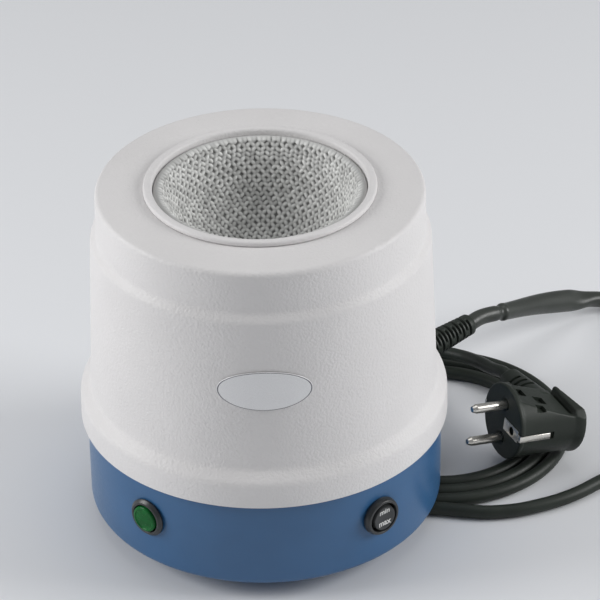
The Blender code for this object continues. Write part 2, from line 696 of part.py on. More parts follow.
def make_button():
    frame = wall_frame(BUTTON_AZIMUTH, CONTROL_HEIGHT, BASE_RADIUS)
    bore = BUTTON_CAP_RADIUS + RUNNING_GAP
    profile = bezel_profile(BUTTON_BEZEL_RADIUS, BUTTON_BEZEL_FRONT_RADIUS, BUTTON_BEZEL_HEIGHT, bore)
    turned("button_bezel", profile, BLACK_PLASTIC, SMALL_SIDES, frame)
    face = SEAT_GAP + BUTTON_BEZEL_HEIGHT + BUTTON_CAP_PROUD
    cap = disc(BUTTON_CAP_RADIUS, face - BUTTON_CAP_LENGTH, face, BUTTON_CAP_EDGE)
    turned("power_button", cap, GREEN_LENS, SMALL_SIDES, frame)
    control_nut("button_nut", frame)
    return switch_body("button", frame, 2)


def make_rocker():
    frame = wall_frame(ROCKER_AZIMUTH, CONTROL_HEIGHT, BASE_RADIUS)
    bore = ROCKER_BALL_RADIUS + RUNNING_GAP
    profile = bezel_profile(ROCKER_BEZEL_RADIUS, ROCKER_BEZEL_FRONT_RADIUS, ROCKER_BEZEL_HEIGHT, bore)
    bezel = turned("rocker_bezel", profile, BLACK_PLASTIC, SMALL_SIDES, frame)
    axis = frame @ Matrix.Translation((0, 0, ROCKER_AXIS_HEIGHT))
    ball = ROCKER_BALL_RADIUS
    shape = [(0, -ROCKER_DEPTH)]
    for height in (-ROCKER_DEPTH, -0.5 * ROCKER_DEPTH, 0.0, 0.55 * ROCKER_CROWN, ROCKER_CROWN):
        shape.append((math.sqrt(ball**2 - height**2), height))
    shape += [(0.75 * ball, ROCKER_CROWN), (0, ROCKER_CROWN - ROCKER_DISH)]
    rocker = turned("min_max_rocker", shape, BLACK_PLASTIC, SMALL_SIDES, axis)
    across = axis @ Matrix.Rotation(math.radians(90), 4, "Y")
    half = ROCKER_PIN_LENGTH / 2
    turned("rocker_pin", disc(ROCKER_PIN_RADIUS, -half, half), STEEL, TINY_SIDES, across)
    reach = half + SEAT_GAP
    hole = disc(ROCKER_PIN_RADIUS + SEAT_GAP, -reach, reach)
    combine(rocker, turned("rocker_pin_hole", hole, None, TINY_SIDES, across))
    combine(bezel, turned("bezel_pin_hole", hole, None, TINY_SIDES, across))
    control_nut("rocker_nut", frame)
    return switch_body("rocker", frame, 3)


def make_gland():
    frame = wall_frame(GLAND_AZIMUTH, GLAND_HEIGHT, BASE_RADIUS)
    tail = -GLAND_THREAD_DEPTH
    flange_top = SEAT_GAP + GLAND_FLANGE_THICKNESS
    body = [(0, tail), (GLAND_THREAD_RADIUS, tail), (GLAND_THREAD_RADIUS, SEAT_GAP)]
    body += [(GLAND_FLANGE_RADIUS, SEAT_GAP), (GLAND_FLANGE_RADIUS, flange_top), (0, flange_top)]
    turned("gland_body", body, BLACK_PLASTIC, TINY_SIDES, frame)
    low = -BASE_WALL - GLAND_NUT_SEAT
    nut = ring(GLAND_THREAD_RADIUS + SEAT_GAP, GLAND_NUT_RADIUS, low - GLAND_NUT_THICKNESS, low)
    turned("gland_nut", nut, BLACK_PLASTIC, TINY_SIDES, frame)
    root = flange_top + SEAT_GAP
    profile = [(0, root), (RELIEF_ROOT_RADIUS, root), (RELIEF_ROOT_RADIUS, root + RELIEF_ROOT_LENGTH)]
    ribbed = RELIEF_LENGTH - RELIEF_ROOT_LENGTH - RELIEF_TIP_LENGTH
    pitch = ribbed / RELIEF_RIBS
    for i in range(RELIEF_RIBS):
        share = (i + 0.5) / RELIEF_RIBS
        radius = RELIEF_ROOT_RADIUS + (RELIEF_TIP_RADIUS - RELIEF_ROOT_RADIUS) * share
        start = root + RELIEF_ROOT_LENGTH + i * pitch
        profile.append((radius - RELIEF_GROOVE_DEPTH, start + 0.25 * pitch))
        profile.append((radius, start + 0.6 * pitch))
    end = root + RELIEF_LENGTH
    profile += [(RELIEF_TIP_RADIUS, end - RELIEF_TIP_LENGTH), (RELIEF_TIP_RADIUS, end), (0, end)]
    turned("strain_relief", profile, BLACK_RUBBER, TINY_SIDES, frame)
    outward = frame.to_3x3() @ Vector((0, 0, 1))
    inside = (frame @ Vector((0, 0, tail - SEAT_GAP)), -outward)
    outside = (frame @ Vector((0, 0, end + SEAT_GAP)), outward)
    return inside, outside


def make_terminal_block():
    low = FLOOR_TOP + SEAT_GAP
    centre = Vector((BLOCK_X, BLOCK_Y, low + BLOCK_HEIGHT / 2))
    block = box("terminal_block", (BLOCK_LENGTH, BLOCK_WIDTH, BLOCK_HEIGHT), centre, CERAMIC)
    along = Matrix.Rotation(math.radians(-90), 4, "X")
    half = BLOCK_WIDTH / 2
    rear = []
    front = []
    for i in range(3):
        place = centre + Vector(((i - 1) * BLOCK_POLE_PITCH, 0, 0))
        frame = Matrix.Translation(place) @ along
        bore = disc(BLOCK_BORE_RADIUS, -half - BASE_WALL, half + BASE_WALL)
        combine(block, turned(f"clamp_bore_{i + 1}", bore, None, TINY_SIDES, frame))
        turned(f"terminal_clamp_{i + 1}", disc(CLAMP_RADIUS, -half, half), BRASS, TINY_SIDES, frame)
        for ends, way in ((rear, Vector((0, 1, 0))), (front, Vector((0, -1, 0)))):
            ends.append((place + way * (half + SEAT_GAP), way))
    return rear, front


def wire(name, start, through, end, finish):
    """An insulated wire inside the base. Each end is a place and the way the wire leaves it."""
    run = 4 * WIRE_RADIUS
    ends = [[place, place + way * run] for place, way in (start, end)]
    points = route([*ends[0], *through, *ends[1][::-1]], 3 * WIRE_RADIUS)
    tube(name, points, WIRE_RADIUS, finish, 0)


def make_wires(gland, rear, front, button, rocker):
    place, inward = gland
    side = inward.cross(Vector((0, 0, 1))) * WIRE_PITCH
    lift = Vector((0, 0, WIRE_PITCH))
    live = millimetres([(36, 54, 37), (14, 52, 28)])
    neutral = millimetres([(38, 44, 42), (22, 45, 28)])
    wire("supply_live_wire", (place + side, inward), live, rear[0], WIRE_BROWN)
    wire("supply_neutral_wire", (place + lift, inward), neutral, rear[1], WIRE_BLUE)
    wire("supply_earth_wire", (place - side, inward), millimetres([(44, 45, 30)]), rear[2], WIRE_EARTH)
    to_button = millimetres([(2, 2, 22), (-10, -14, 30)])
    to_rocker = millimetres([(-20, -14, 44), (0, -16, 50), (14, -22, 44)])
    wire("button_wire", front[0], to_button, button[1], WIRE_BROWN)
    wire("rocker_wire", button[0], to_rocker, rocker[0], WIRE_BROWN)
    make_nest_wires(front, rocker)


def make_nest_wires(front, rocker):
    """The heater's three leads, straight down through the pot and the shield and then to their terminals."""
    down = Vector((0, 0, -1))
    under_nest = NEST_CENTRE - NEST_OUTER - SEAT_GAP
    below = SHIELD_HEIGHT - NEST_WIRE_DROP
    starts = []
    drops = []
    for x in (-NEST_WIRE_PITCH, 0.0, NEST_WIRE_PITCH):
        starts.append((Vector((x, 0, under_nest)), down))
        drops.append([Vector((x, 0, SHIELD_HEIGHT)), Vector((x, 0, below))])
    to_min = Vector((6 * MM, -8 * MM, below - 1.6 * NEST_WIRE_DROP))
    to_max = Vector((14 * MM, -4 * MM, below - 1.8 * NEST_WIRE_DROP))
    to_block = [Vector((-2 * MM, 4 * MM, below - 2.4 * NEST_WIRE_DROP)), Vector((12, 4, 30)) * MM]
    wire("nest_min_wire", starts[1], [*drops[1], to_min], rocker[1], WIRE_WHITE)
    wire("nest_max_wire", starts[2], [*drops[2], to_max], rocker[2], WIRE_WHITE)
    wire("nest_return_wire", starts[0], [*drops[0], *to_block], front[1], WIRE_BLUE)


def coil_point(turns):
    """A point of the flat spiral, clockwise from above and inwards."""
    angle = math.radians(COIL_START_ANGLE) - 2 * math.pi * turns
    radius = COIL_OUTER_RADIUS - COIL_PITCH * turns
    flat = Vector((math.cos(angle), math.sin(angle))) * radius + Vector(COIL_CENTRE)
    return Vector((*flat, CORD_RADIUS))


def coil_route():
    """The coil's points, with a straight run of one diameter at each end."""
    count = round(COIL_TURNS * COIL_POINTS_PER_TURN)
    points = [coil_point(i / COIL_POINTS_PER_TURN) for i in range(-1, count + 2)]
    points[0] = points[1] + (points[0] - points[1]).normalized() * CORD_DIAMETER
    points[-1] = points[-2] + (points[-1] - points[-2]).normalized() * CORD_DIAMETER
    return points


def least_gap(points, diameter):
    """Least clear distance between stretches of a tube that are not neighbours along it."""
    dense = evenly(points, GAP_SAMPLE * diameter)
    apart = round(GAP_NEIGHBOURS / GAP_SAMPLE)
    least = math.inf
    for i, here in enumerate(dense):
        for there in dense[i + apart :]:
            least = min(least, (here - there).length)
    return least - diameter


def make_cord(relief_end, plug_entry):
    start, outward = relief_end
    entry, plug_outward = plug_entry
    coil = coil_route()
    gap = least_gap(coil, CORD_DIAMETER)
    print(f"coil: least gap to itself {gap / MM:.2f} mm, length {length_of(coil):.3f} m")
    if gap < LEAST_COIL_GAP:
        raise ValueError("the coil's turns touch")
    tube("cord_coil", coil, CORD_RADIUS, BLACK_RUBBER, 1)
    sleeve_marks = [(126, 117, 33), (146, 140.3, 22.5), (169.2, 161.6, 11.5)]
    sleeve_marks += [(181.7, 168.3, 7.2), (194.3, 170.1, 5.2)]
    run = outward * SLEEVE_DIAMETER
    sleeve = route([start, start + run, *millimetres(sleeve_marks)], SLEEVE_DIAMETER)
    tube("cord_sleeve", sleeve, SLEEVE_DIAMETER / 2, BLACK_RUBBER, 2)
    lead_start = sleeve[-1] + (sleeve[-1] - sleeve[-2]).normalized() * SEAT_GAP
    lead_marks = [(208, 165.7, 4.2), (220, 153.6, 3.6), (225.8, 136.5, 3.5), (226, 112, 3.5)]
    lead_marks += [(222.6, 85.3, 3.5), (214.1, 57.5, 3.5), (199.8, 33, 3.5), (183.4, 15.4, 3.5)]
    lead_marks += [(167, 3.2, 3.5), (156.9, -5, 3.5), (146.3, -11.6, 3.5), (135.9, -16.2, 3.5)]
    lead_marks += [(125.7, -19.6, 3.5), (115.6, -21.2, 3.5), (105.6, -21.2, 3.5)]
    back = (coil[0] - coil[1]).normalized()
    lead_ends = [coil[0] + back * (CORD_DIAMETER + SEAT_GAP), coil[0] + back * SEAT_GAP]
    lead_run = (sleeve[-1] - sleeve[-2]).normalized() * CORD_DIAMETER
    lead_marks = millimetres(lead_marks)
    lead = route([lead_start, lead_start + lead_run, *lead_marks, *lead_ends], CORD_DIAMETER)
    tube("cord_lead", lead, CORD_RADIUS, BLACK_RUBBER, 2)
    onward = (coil[-1] - coil[-2]).normalized()
    tail_starts = [coil[-1] + onward * SEAT_GAP, coil[-1] + onward * (CORD_DIAMETER + SEAT_GAP)]
    tail_marks = [(51, 81.5, 4.6), (59.5, 91, 7.6), (69, 101, 11.2), (79, 108, 12.4)]
    tail_marks += [(91, 109, 13.2), (101.5, 102.5, 15), (107.5, 95, 17.5), (112.2, 87.2, 20)]
    tail_marks.append((116.8, 78.1, 22.8))
    tail_end = entry + plug_outward * SEAT_GAP
    approach = entry + plug_outward * CORD_DIAMETER
    tail = route([*tail_starts, *millimetres(tail_marks), approach, tail_end], CORD_DIAMETER)
    tube("cord_tail", tail, CORD_RADIUS, BLACK_RUBBER, 2)
    whole = length_of(sleeve) + length_of(lead) + length_of(coil) + length_of(tail)
    print(f"lead: {whole:.3f} m from the strain relief to the plug")


def plug_frame():
    """X along the cable's way out, Y down along the line of the pins, Z along the pins."""
    forward = Vector(PLUG_PIN_DIRECTION).normalized()
    cable = Vector(PLUG_CABLE_DIRECTION)
    cable = (cable - forward * cable.dot(forward)).normalized()
    frame = Matrix((cable, forward.cross(cable), forward)).transposed().to_4x4()
    frame.translation = PLUG_FACE_CENTRE
    return frame


def carve_grip(body, frame):
    """Hollows above and below, the straight edge of the grip behind them, and the shoulder at the arm."""
    side = 2 * PLUG_BACK_RADIUS
    lean = math.radians(PLUG_HOLLOW_LEAN)
    front = -PLUG_HOLLOW_START / math.cos(lean)
    upper = (-1, -side, PLUG_HOLLOW_END)
    lower = (1, -PLUG_LOWER_HOLLOW_START, 2 * PLUG_DEPTH)
    for sign, near, end in (upper, lower):
        rear = -end / math.cos(lean)
        root = frame @ Matrix.Translation((0, sign * PLUG_HOLLOW_ROOT, 0))
        size = (side - near, side, front - rear)
        middle = ((side + near) / 2, sign * side / 2, (front + rear) / 2)
        combine(body, box("grip_hollow", size, middle, None, root @ Matrix.Rotation(-sign * lean, 4, "X")))
    edge = (0, -PLUG_GRIP_HALF_WIDTH - side / 2, -PLUG_HOLLOW_END - side / 2)
    combine(body, box("grip_edge", (2 * side, side, side), edge, None, frame))
    shoulder = (PLUG_SHOULDER + side / 2, 0, -PLUG_SHOULDER_DEPTH - side)
    combine(body, box("grip_shoulder", (side, 2 * side, 2 * side), shoulder, None, frame))


def make_plug():
    frame = plug_frame()
    waist = PLUG_FACE_RADIUS - PLUG_RIM_STEP
    back = -PLUG_DEPTH
    profile = [(0, back), (PLUG_BACK_RADIUS - PLUG_BACK_CHAMFER, back)]
    profile.append((PLUG_BACK_RADIUS, back + PLUG_BACK_CHAMFER))
    profile += [(waist, back + PLUG_BACK_PLATE), (waist, -PLUG_RIM), (PLUG_FACE_RADIUS, -PLUG_RIM)]
    profile += [(PLUG_FACE_RADIUS, -PLUG_RIM_CHAMFER), (PLUG_FACE_RADIUS - PLUG_RIM_CHAMFER, 0), (0, 0)]
    body = turned("plug_body", profile, BLACK_RUBBER, PLUG_SIDES, frame)
    slant = Matrix.Rotation(math.radians(-PLUG_BACK_SLANT), 4, "Y")
    wedge_place = frame @ Matrix.Translation((-PLUG_FACE_RADIUS, 0, -PLUG_DEPTH)) @ slant
    side = 4 * PLUG_FACE_RADIUS
    wedge = box("plug_wedge", (2 * side, side, side), (0, 0, -side / 2 - PLUG_BACK_CUT), None, wedge_place)
    combine(body, wedge)
    carve_grip(body, frame)
    along = frame @ Matrix.Translation((0, 0, -PLUG_ARM_DEPTH)) @ Matrix.Rotation(math.radians(90), 4, "Y")
    arm = [(0, PLUG_ARM_ROOT), (PLUG_ARM_ROOT_RADIUS, PLUG_ARM_ROOT)]
    arm += [(PLUG_ARM_TIP_RADIUS, PLUG_ARM_REACH), (0, PLUG_ARM_REACH)]
    combine(body, turned("plug_arm", arm, None, PIN_SIDES, along), "UNION")
    for sign, label in ((-1, "upper"), (1, "lower")):
        place = frame @ Matrix.Translation((0, sign * PIN_PITCH / 2, 0))
        bore = disc(PIN_RADIUS + SEAT_GAP, -PIN_SEAT - SEAT_GAP, PIN_SEAT)
        combine(body, turned(f"{label}_pin_bore", bore, None, PIN_SIDES, place))
        pin = [(0, -PIN_SEAT), (PIN_RADIUS, -PIN_SEAT), (PIN_RADIUS, PIN_LENGTH - 2 * PIN_RADIUS / 3)]
        pin += [(0.8 * PIN_RADIUS, PIN_LENGTH - PIN_RADIUS / 4), (0.4 * PIN_RADIUS, PIN_LENGTH)]
        pin.append((0, PIN_LENGTH))
        turned(f"plug_pin_{label}", pin, NICKEL, PIN_SIDES, place)
    hole_place = frame @ Matrix.Translation((-EARTH_HOLE_OFFSET, 0, 0))
    hole = disc(EARTH_HOLE_RADIUS, -PIN_SEAT, PIN_SEAT)
    combine(body, turned("earth_hole", hole, None, PIN_SIDES, hole_place))
    slot = EARTH_CLIP_THICKNESS + 2 * SEAT_GAP
    for sign, label in ((-1, "near"), (1, "far")):
        away = sign * (PLUG_FACE_RADIUS - slot / 2)
        length = EARTH_CLIP_LENGTH if sign < 0 else EARTH_CLIP_FAR_LENGTH
        size = (slot + SEAT_GAP, EARTH_CLIP_WIDTH + 2 * SEAT_GAP, 2 * (length + SEAT_GAP))
        combine(body, box(f"{label}_clip_slot", size, (away, 0, 0), None, frame))
        clip = (EARTH_CLIP_THICKNESS, EARTH_CLIP_WIDTH, length)
        box(f"plug_earth_clip_{label}", clip, (away, 0, -length / 2), NICKEL, frame)
    outward = (frame.to_3x3() @ Vector((1, 0, 0))).normalized()
    return along @ Vector((0, 0, PLUG_ARM_REACH)), outward


def main():
    clear_scene()
    base_rim = make_housing()
    make_badge()
    make_collar()
    make_nest()
    make_heater_wire()
    make_insulation()
    pot_floor = make_pot()
    make_shield()
    make_base(base_rim)
    make_feet_and_posts(pot_floor)
    button = make_button()
    rocker = make_rocker()
    gland_inside, relief_end = make_gland()
    rear, front = make_terminal_block()
    make_wires(gland_inside, rear, front, button, rocker)
    plug_entry = make_plug()
    make_cord(relief_end, plug_entry)


main()
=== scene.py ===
"""Looks of a laboratory heating mantle: its fine surfaces and finishes, its mains lead and the studio.

Metres, +Z up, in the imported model's own frame: the mantle's axis on Z, the floor at z = 0, the front
towards -Y. Azimuths are measured from the front, positive towards +X.
"""

import json
import math

import bmesh
import bpy
import numpy as np
from mathutils import Matrix, Vector


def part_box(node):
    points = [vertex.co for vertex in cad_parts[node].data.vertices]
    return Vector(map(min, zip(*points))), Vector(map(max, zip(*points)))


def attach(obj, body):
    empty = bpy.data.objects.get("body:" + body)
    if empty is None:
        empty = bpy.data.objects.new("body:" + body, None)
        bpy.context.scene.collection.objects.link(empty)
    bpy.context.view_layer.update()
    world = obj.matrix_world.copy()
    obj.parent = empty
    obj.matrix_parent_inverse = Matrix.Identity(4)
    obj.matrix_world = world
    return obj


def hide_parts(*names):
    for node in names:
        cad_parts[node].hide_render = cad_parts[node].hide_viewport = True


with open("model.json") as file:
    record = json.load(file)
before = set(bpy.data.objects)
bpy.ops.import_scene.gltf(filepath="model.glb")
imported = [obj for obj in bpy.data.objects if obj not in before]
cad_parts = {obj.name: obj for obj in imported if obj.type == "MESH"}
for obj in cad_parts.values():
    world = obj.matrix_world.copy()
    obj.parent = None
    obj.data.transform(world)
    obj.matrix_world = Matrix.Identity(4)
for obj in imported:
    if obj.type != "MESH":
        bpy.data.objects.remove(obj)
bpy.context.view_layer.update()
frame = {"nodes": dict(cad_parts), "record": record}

MM = 0.001

# Camera
CAMERA_PLACE = (18.126 * MM, -1369.73 * MM, 978.323 * MM)
CAMERA_TILT = 57.79
CAMERA_ROLL = -0.78
CAMERA_LENS = 201.42
CAMERA_SENSOR = 36.0
CAMERA_NEAR = 0.05
CAMERA_FAR = 20.0

# Facets round a turned piece, steps of a fillet, and the least angle of a sharp edge
LARGE_SIDES = 192
SMALL_SIDES = 72
MINOR_SIDES = 48
BORE_SIDES = 32
FILLET_STEPS = 5
BLOCK_EDGE_STEPS = 3
SHARP_ANGLE = 38.0
MOULDED_ANGLE = 50.0
KNIT_ANGLE = 180.0

# Gap that the solids keep where they seat on each other
SEAT_GAP = 0.3 * MM

# Housing
HOUSING_SHEET = 1.5 * MM
HEM_RADIUS = 0.5 * MM
SKIRT_DRAFT = 0.3 * MM
SHOULDER_FILLET = 5.5 * MM
STEP_FILLET = 4.5 * MM
INNER_SHOULDER_FILLET = 5.0 * MM
INNER_FILLET = 4.0 * MM
MOUTH_EDGE = 0.4 * MM
SKIRT_TOP = 69.6 * MM
CONE_BOTTOM_RADIUS = 84.5 * MM
CONE_BOTTOM = 75.1 * MM
CONE_TOP_RADIUS = 81.45 * MM
CONE_TOP = 153.9 * MM
BAND_RADIUS = 78.55 * MM
BAND_BOTTOM = 157.8 * MM
BAND_DRAFT = 0.2 * MM
TOP_EDGE_RADIUS = 2.8 * MM

# Collar round the opening
OPENING_RADIUS = 51.1 * MM
COLLAR_WALL = 1.8 * MM
COLLAR_LIP = 4.4 * MM
COLLAR_EDGE = 0.4 * MM
LIP_EDGE = 0.3 * MM
LIP_OUTER_ROUND = 1.5 * MM
LIP_INNER_ROUND = 1.7 * MM

# Nest
NEST_RADIUS = 43.2 * MM
NEST_CENTRE = 175.0 * MM
NEST_THICKNESS = 4.0 * MM
NEST_RIM_RADIUS = 46.8 * MM
NEST_RIM_HEIGHT = 178.0 * MM
NEST_FLARE_ANGLE = 16.0
NEST_FLARE_BULGE = 0.06
NEST_HEM_WIDTH = 3.9 * MM
NEST_HEM_CREST = (2.0 * MM, 1.2 * MM)
NEST_POLE_RADIUS = 0.05 * MM
NEST_BACK_TONE = 0.5
NEST_COLUMNS = 560
NEST_ROWS = 150
FLARE_STEPS = 20
BOWL_STEPS = 80
BACK_STEPS = 8
COURSE_PITCH = 2.2 * MM
STITCH_PITCH = 2.35 * MM
STITCH_HALF_HEIGHT = 1.45 * MM
STITCH_HALF_WIDTH = 1.25 * MM
STITCH_RELIEF = 0.9 * MM
STITCH_MIDDLE = 0.5
STITCH_LEAN = 0.55
STITCH_SLIP = 0.1
STITCH_SIZES = (0.72, 1.05)
STITCH_TONES = (0.7, 1.0)
STITCH_SEED = 5
FEWEST_STITCHES = 6

# Base and feet
BASE_RADIUS = 86.8 * MM
BASE_WALL = 2.0 * MM
BASE_FLOOR = 2.4 * MM
BASE_EDGE = 4.0 * MM
BASE_HEM = 0.4 * MM
HOLE_REACH = 20.0 * MM
FOOT_TAPER = 0.4 * MM
FOOT_BOTTOM_EDGE = 1.0 * MM
FOOT_TOP_EDGE = 0.6 * MM
FOOT_WELL = (4.5 * MM, 4.0 * MM)
FOOT_WELL_EDGE = 0.4 * MM
FOOT_BORE = 2.3 * MM
FOOT_BORE_EDGE = 0.3 * MM

# Controls in the base wall
CONTROL_HEIGHT = 36.2 * MM
BARREL_RADIUS = 8.6 * MM
BARREL_DEPTH = 13.0 * MM
BARREL_INNER_EDGE = 0.2 * MM
BARREL_OUTER_EDGE = 0.3 * MM
BEZEL_SEAT_EDGE = 0.25 * MM
BEZEL_SIDE_SHARE = 0.35
BEZEL_SIDE_ROUND = 0.5 * MM
BEZEL_FRONT_ROUND = 0.7 * MM
BEZEL_MOUTH_WIDENING = 0.25 * MM
BEZEL_MOUTH_ROUND = 0.35 * MM
BEZEL_BORE_SHARE = 0.6
BEZEL_BORE_ROUND = 0.4 * MM
BUTTON_AZIMUTH = -40.0
BUTTON_BEZEL = {"flange": 9.8 * MM, "front": 8.4 * MM, "height": 2.2 * MM, "bore": 7.1 * MM}
BUTTON_PROUD = 1.1 * MM
BUTTON_RADIUS = 6.7 * MM
BUTTON_LENGTH = 13.0 * MM
BUTTON_BACK_EDGE = 0.4 * MM
BUTTON_SIDE_DROP = 0.25 * MM
BUTTON_SIDE_ROUND = 0.8 * MM
BUTTON_FACE = [(5.4, 0, 0.3), (5.0, -0.35, 0.25), (2.5, -0.15, 1.5), (0, -0.1, 0)]
ROCKER_AZIMUTH = 39.0
ROCKER_BEZEL = {"flange": 9.9 * MM, "front": 9.1 * MM, "height": 3.4 * MM, "bore": 7.6 * MM}
ROCKER_AXIS = 1.3 * MM
ROCKER_BALL = 6.75 * MM
ROCKER_BACK = 5.0 * MM
ROCKER_CROWN = 2.9 * MM
ROCKER_DISH = 0.5 * MM
ROCKER_RIM = 0.86
ROCKER_EDGE = 0.35 * MM
ROCKER_RIM_DROP = 0.06 * MM
ROCKER_SIDE_STEPS = 11
ROCKER_DISH_STEPS = 8
ROCKER_WORDS = {"min": 3.9 * MM, "max": -2.6 * MM}
WORD_SIZE = 4.3 * MM
WORD_HALF_THICKNESS = 0.05 * MM
WORD_STROKE = 0.08 * MM
WORD_LIFT = 0.03 * MM

# Badge, and its outlines as shares of its size with their lift in millimetres
BADGE_HALF_WIDTH = 22.5 * MM
BADGE_HALF_HEIGHT = 10.25 * MM
BADGE_HEIGHT = 118.4 * MM
BADGE_AZIMUTH = 0.9
BADGE_POINTS = 144
BADGE_PLATE = [(1.0, 0.05), (1.0, 0.45), (0.992, 0.58), (0.98, 0.62)]
BADGE_PLATE += [(0.9, 0.63), (0.55, 0.65), (0.06, 0.66)]
BADGE_LINE = [(0.995, 0.5), (0.99, 0.64), (0.968, 0.66), (0.966, 0.55)]

# Cable gland and strain relief
GLAND_AZIMUTH = 133.5
GLAND_HEIGHT = 36.0 * MM
GLAND_FLANGE = 5.5 * MM
GLAND_FLANGE_RADIUS = 9.5 * MM
GLAND_THREAD = 6.2 * MM
GLAND_DEPTH = 9.0 * MM
GLAND_END_EDGE = 0.4 * MM
GLAND_SEAT_EDGE = 0.3 * MM
GLAND_FRONT_EDGE = 1.2 * MM
RELIEF_LENGTH = 53.0 * MM
RELIEF_ROOT_RADIUS = 7.6 * MM
RELIEF_TIP_RADIUS = 5.7 * MM
RELIEF_ROOT_LENGTH = 8.0 * MM
RELIEF_TIP_LENGTH = 3.0 * MM
RELIEF_RIBS = 16
RELIEF_RIB_STEPS = 12
RELIEF_SIDES = 64
RELIEF_EDGE = 0.6 * MM
RELIEF_ROOT_STEP = 0.4 * MM
RELIEF_TIP_STEP = 0.8 * MM
RELIEF_SLOT_DEPTH = 1.7 * MM
RELIEF_SLOT_SHARE = 0.28
RELIEF_SLOT_STEEPNESS = 2.4
RELIEF_BRIDGE = 0.86
RELIEF_BRIDGE_EASE = 0.1

# Mains lead: the same route as its solids
CORD_DIAMETER = 6.8 * MM
CORD_SPAN_POINTS = 8
CORD_ROUNDNESS = 6
SLEEVE_RADIUS = 5.0 * MM
SLEEVE_THIN = 4.1 * MM
SLEEVE_LAP = 0.42 * MM
SLEEVE_LAP_AT = 22.0 * MM
SLEEVE_LAP_EASE = 1.0 * MM
SLEEVE_BEAD = 0.25 * MM
SLEEVE_BEAD_LENGTH = 1.5 * MM
SLEEVE_GROOVE = 0.5 * MM
SLEEVE_SPREAD = 1.45 * MM
SLEEVE_PRESS = 0.25 * MM
SLEEVE_FLAT_AT = 81.0 * MM
SLEEVE_TWIST_END = 103.0 * MM
SLEEVE_TWIST = 90.0
SLEEVE_TWIST_LOSS = 0.5
SLEEVE_WIDE_SIDE = 118.0
SLEEVE_DENT = 0.75 * MM
SLEEVE_DENT_AT = 91.0 * MM
SLEEVE_DENT_LENGTH = 9.0 * MM
SLEEVE_DENT_SIDE = 50.0
SLEEVE_SPAN_POINTS = 48
COIL_CENTRE = (87.0 * MM, 53.0 * MM)
COIL_RADIUS = 71.0 * MM
COIL_PITCH = 7.5 * MM
COIL_TURNS = 3.29
COIL_START = -90.0
COIL_POINTS = 24

# Plug: where it lies and which way it points
PLUG_FACE = (118.8 * MM, 20.4 * MM, 29.4 * MM)
PLUG_PINS = (-0.905, -0.405, 0.13)
PLUG_CABLE = (-0.41, 0.91, 0.0)
PLUG_ARM_DEPTH = 23.0 * MM
PLUG_ARM_REACH = 36.0 * MM

# Plug's moulding, in millimetres of its own frame: a turned outline of (radius, depth, fillet),
# the slanted back, the finger hollows, the plate behind them, and the cable's arm
PLUG_OUTLINE = [(0, -37.5, 0), (20.4, -37.5, 1.6), (20.1, -34.6, 1.4), (19, -31.4, 3), (19, -2.3, 0.1)]
PLUG_OUTLINE += [(19.5, -1.9, 0.2), (19.5, 0, 0.8), (0, 0, 0)]
PLUG_SIDES = 96
PLUG_GRAIN = 0.45
PLUG_SOFTNESS = 0.5
PLUG_SOFTENINGS = 5
PLUG_CLEAR = 45
PLUG_BEYOND = 90
BACK_CORNER = (-19.5, 0, -37.5)
BACK_SLANT = 8.0
BACK_TRIM = 0.5
GRIP_LEAN = 16.7
GRIP_ROOT = 17.1
GRIP_START = -3.1
GRIP_END = -32.9
LOWER_GRIP_SIDE = -8
PLATE_START = -31.5
PLATE_HALF_WIDTH = 10.3
PLATE_CORNER = (-14.5, -10.3, 0)
PLATE_CORNER_TURN = 144.0
PLATE_GROOVE = ((-14, -30, -31.2), (9, -5.8, -29.4))
SHOULDER_SIDE = 9
SHOULDER_DEPTH = -8
ARM_STATIONS = [(5, -23, 10.2, 10.2), (9, -23, 9.8, 9.8), (20, -23, 8.4, 8.3), (36, -23, 6.2, 6.2)]
ARM_SIDES = 40
ARM_SLOTS = ((17.0, -16.4), (21.5, -14.8), (26.0, -13.4))
ARM_SLOT_SIDES = ((-10.0, -3.4), (3.4, 10.0))
ARM_SLOT_HALF_WIDTH = 1.0
ARM_SLOT_LENGTH = 9.5
GRIP_POCKETS = ((-4.5, -17.4, 3.3, 3.0), (-12.6, -13.6, 2.4, 2.5), (1.3, -7.3, 3.3, 3.7))
GRIP_POCKET_OUT = -2
GRIP_POCKET_DEPTH = 1.9

# Plug's pins and earth contacts, in millimetres
PIN_PLACES = {"upper": -9.5, "lower": 9.5}
PIN_OUTLINE = [(0, -7, 0), (2.4, -7, 0.2), (2.4, 16.6, 1.2)]
PIN_OUTLINE += [(1.5, 19, 0.7), (0.5, 19, 0.1), (0, 18.7, 0)]
PIN_SIDES = 40
PIN_WELL = [(0, -7.4), (2.75, -7.4), (2.75, -0.8), (4.2, 0.2), (0, 0.2)]
EARTH_PLACE = -10
EARTH_WELL = [(0, -9), (2.9, -9), (2.9, 1), (0, 1)]
EARTH_HOLE = [(0, -2), (2.3, -2), (2.3, 2), (0, 2)]
NEAR_CLIP_SEAT = ((-22, -2, -19.2), (-17.6, 2, 1))
NEAR_CLIP = ((-19.3, -1.7, -17), (-18.1, 1.7, 0.3))
FAR_CLIP_SEAT = ((17.6, -2, -7.3), (21, 2, 1))
FAR_CLIP = ((18.0, -1.7, -7), (19.2, 1.7, 0.2))
CLIP_NECK = ((-19.2, -1.7, -0.2), (-15, 1.7, 0.3))
CLIP_TONGUE = ((-16.4, -3.2, -0.2), (-2, 3.2, 0.35))
CLIP_EDGE = 0.25
TONGUE_EDGE = 0.12

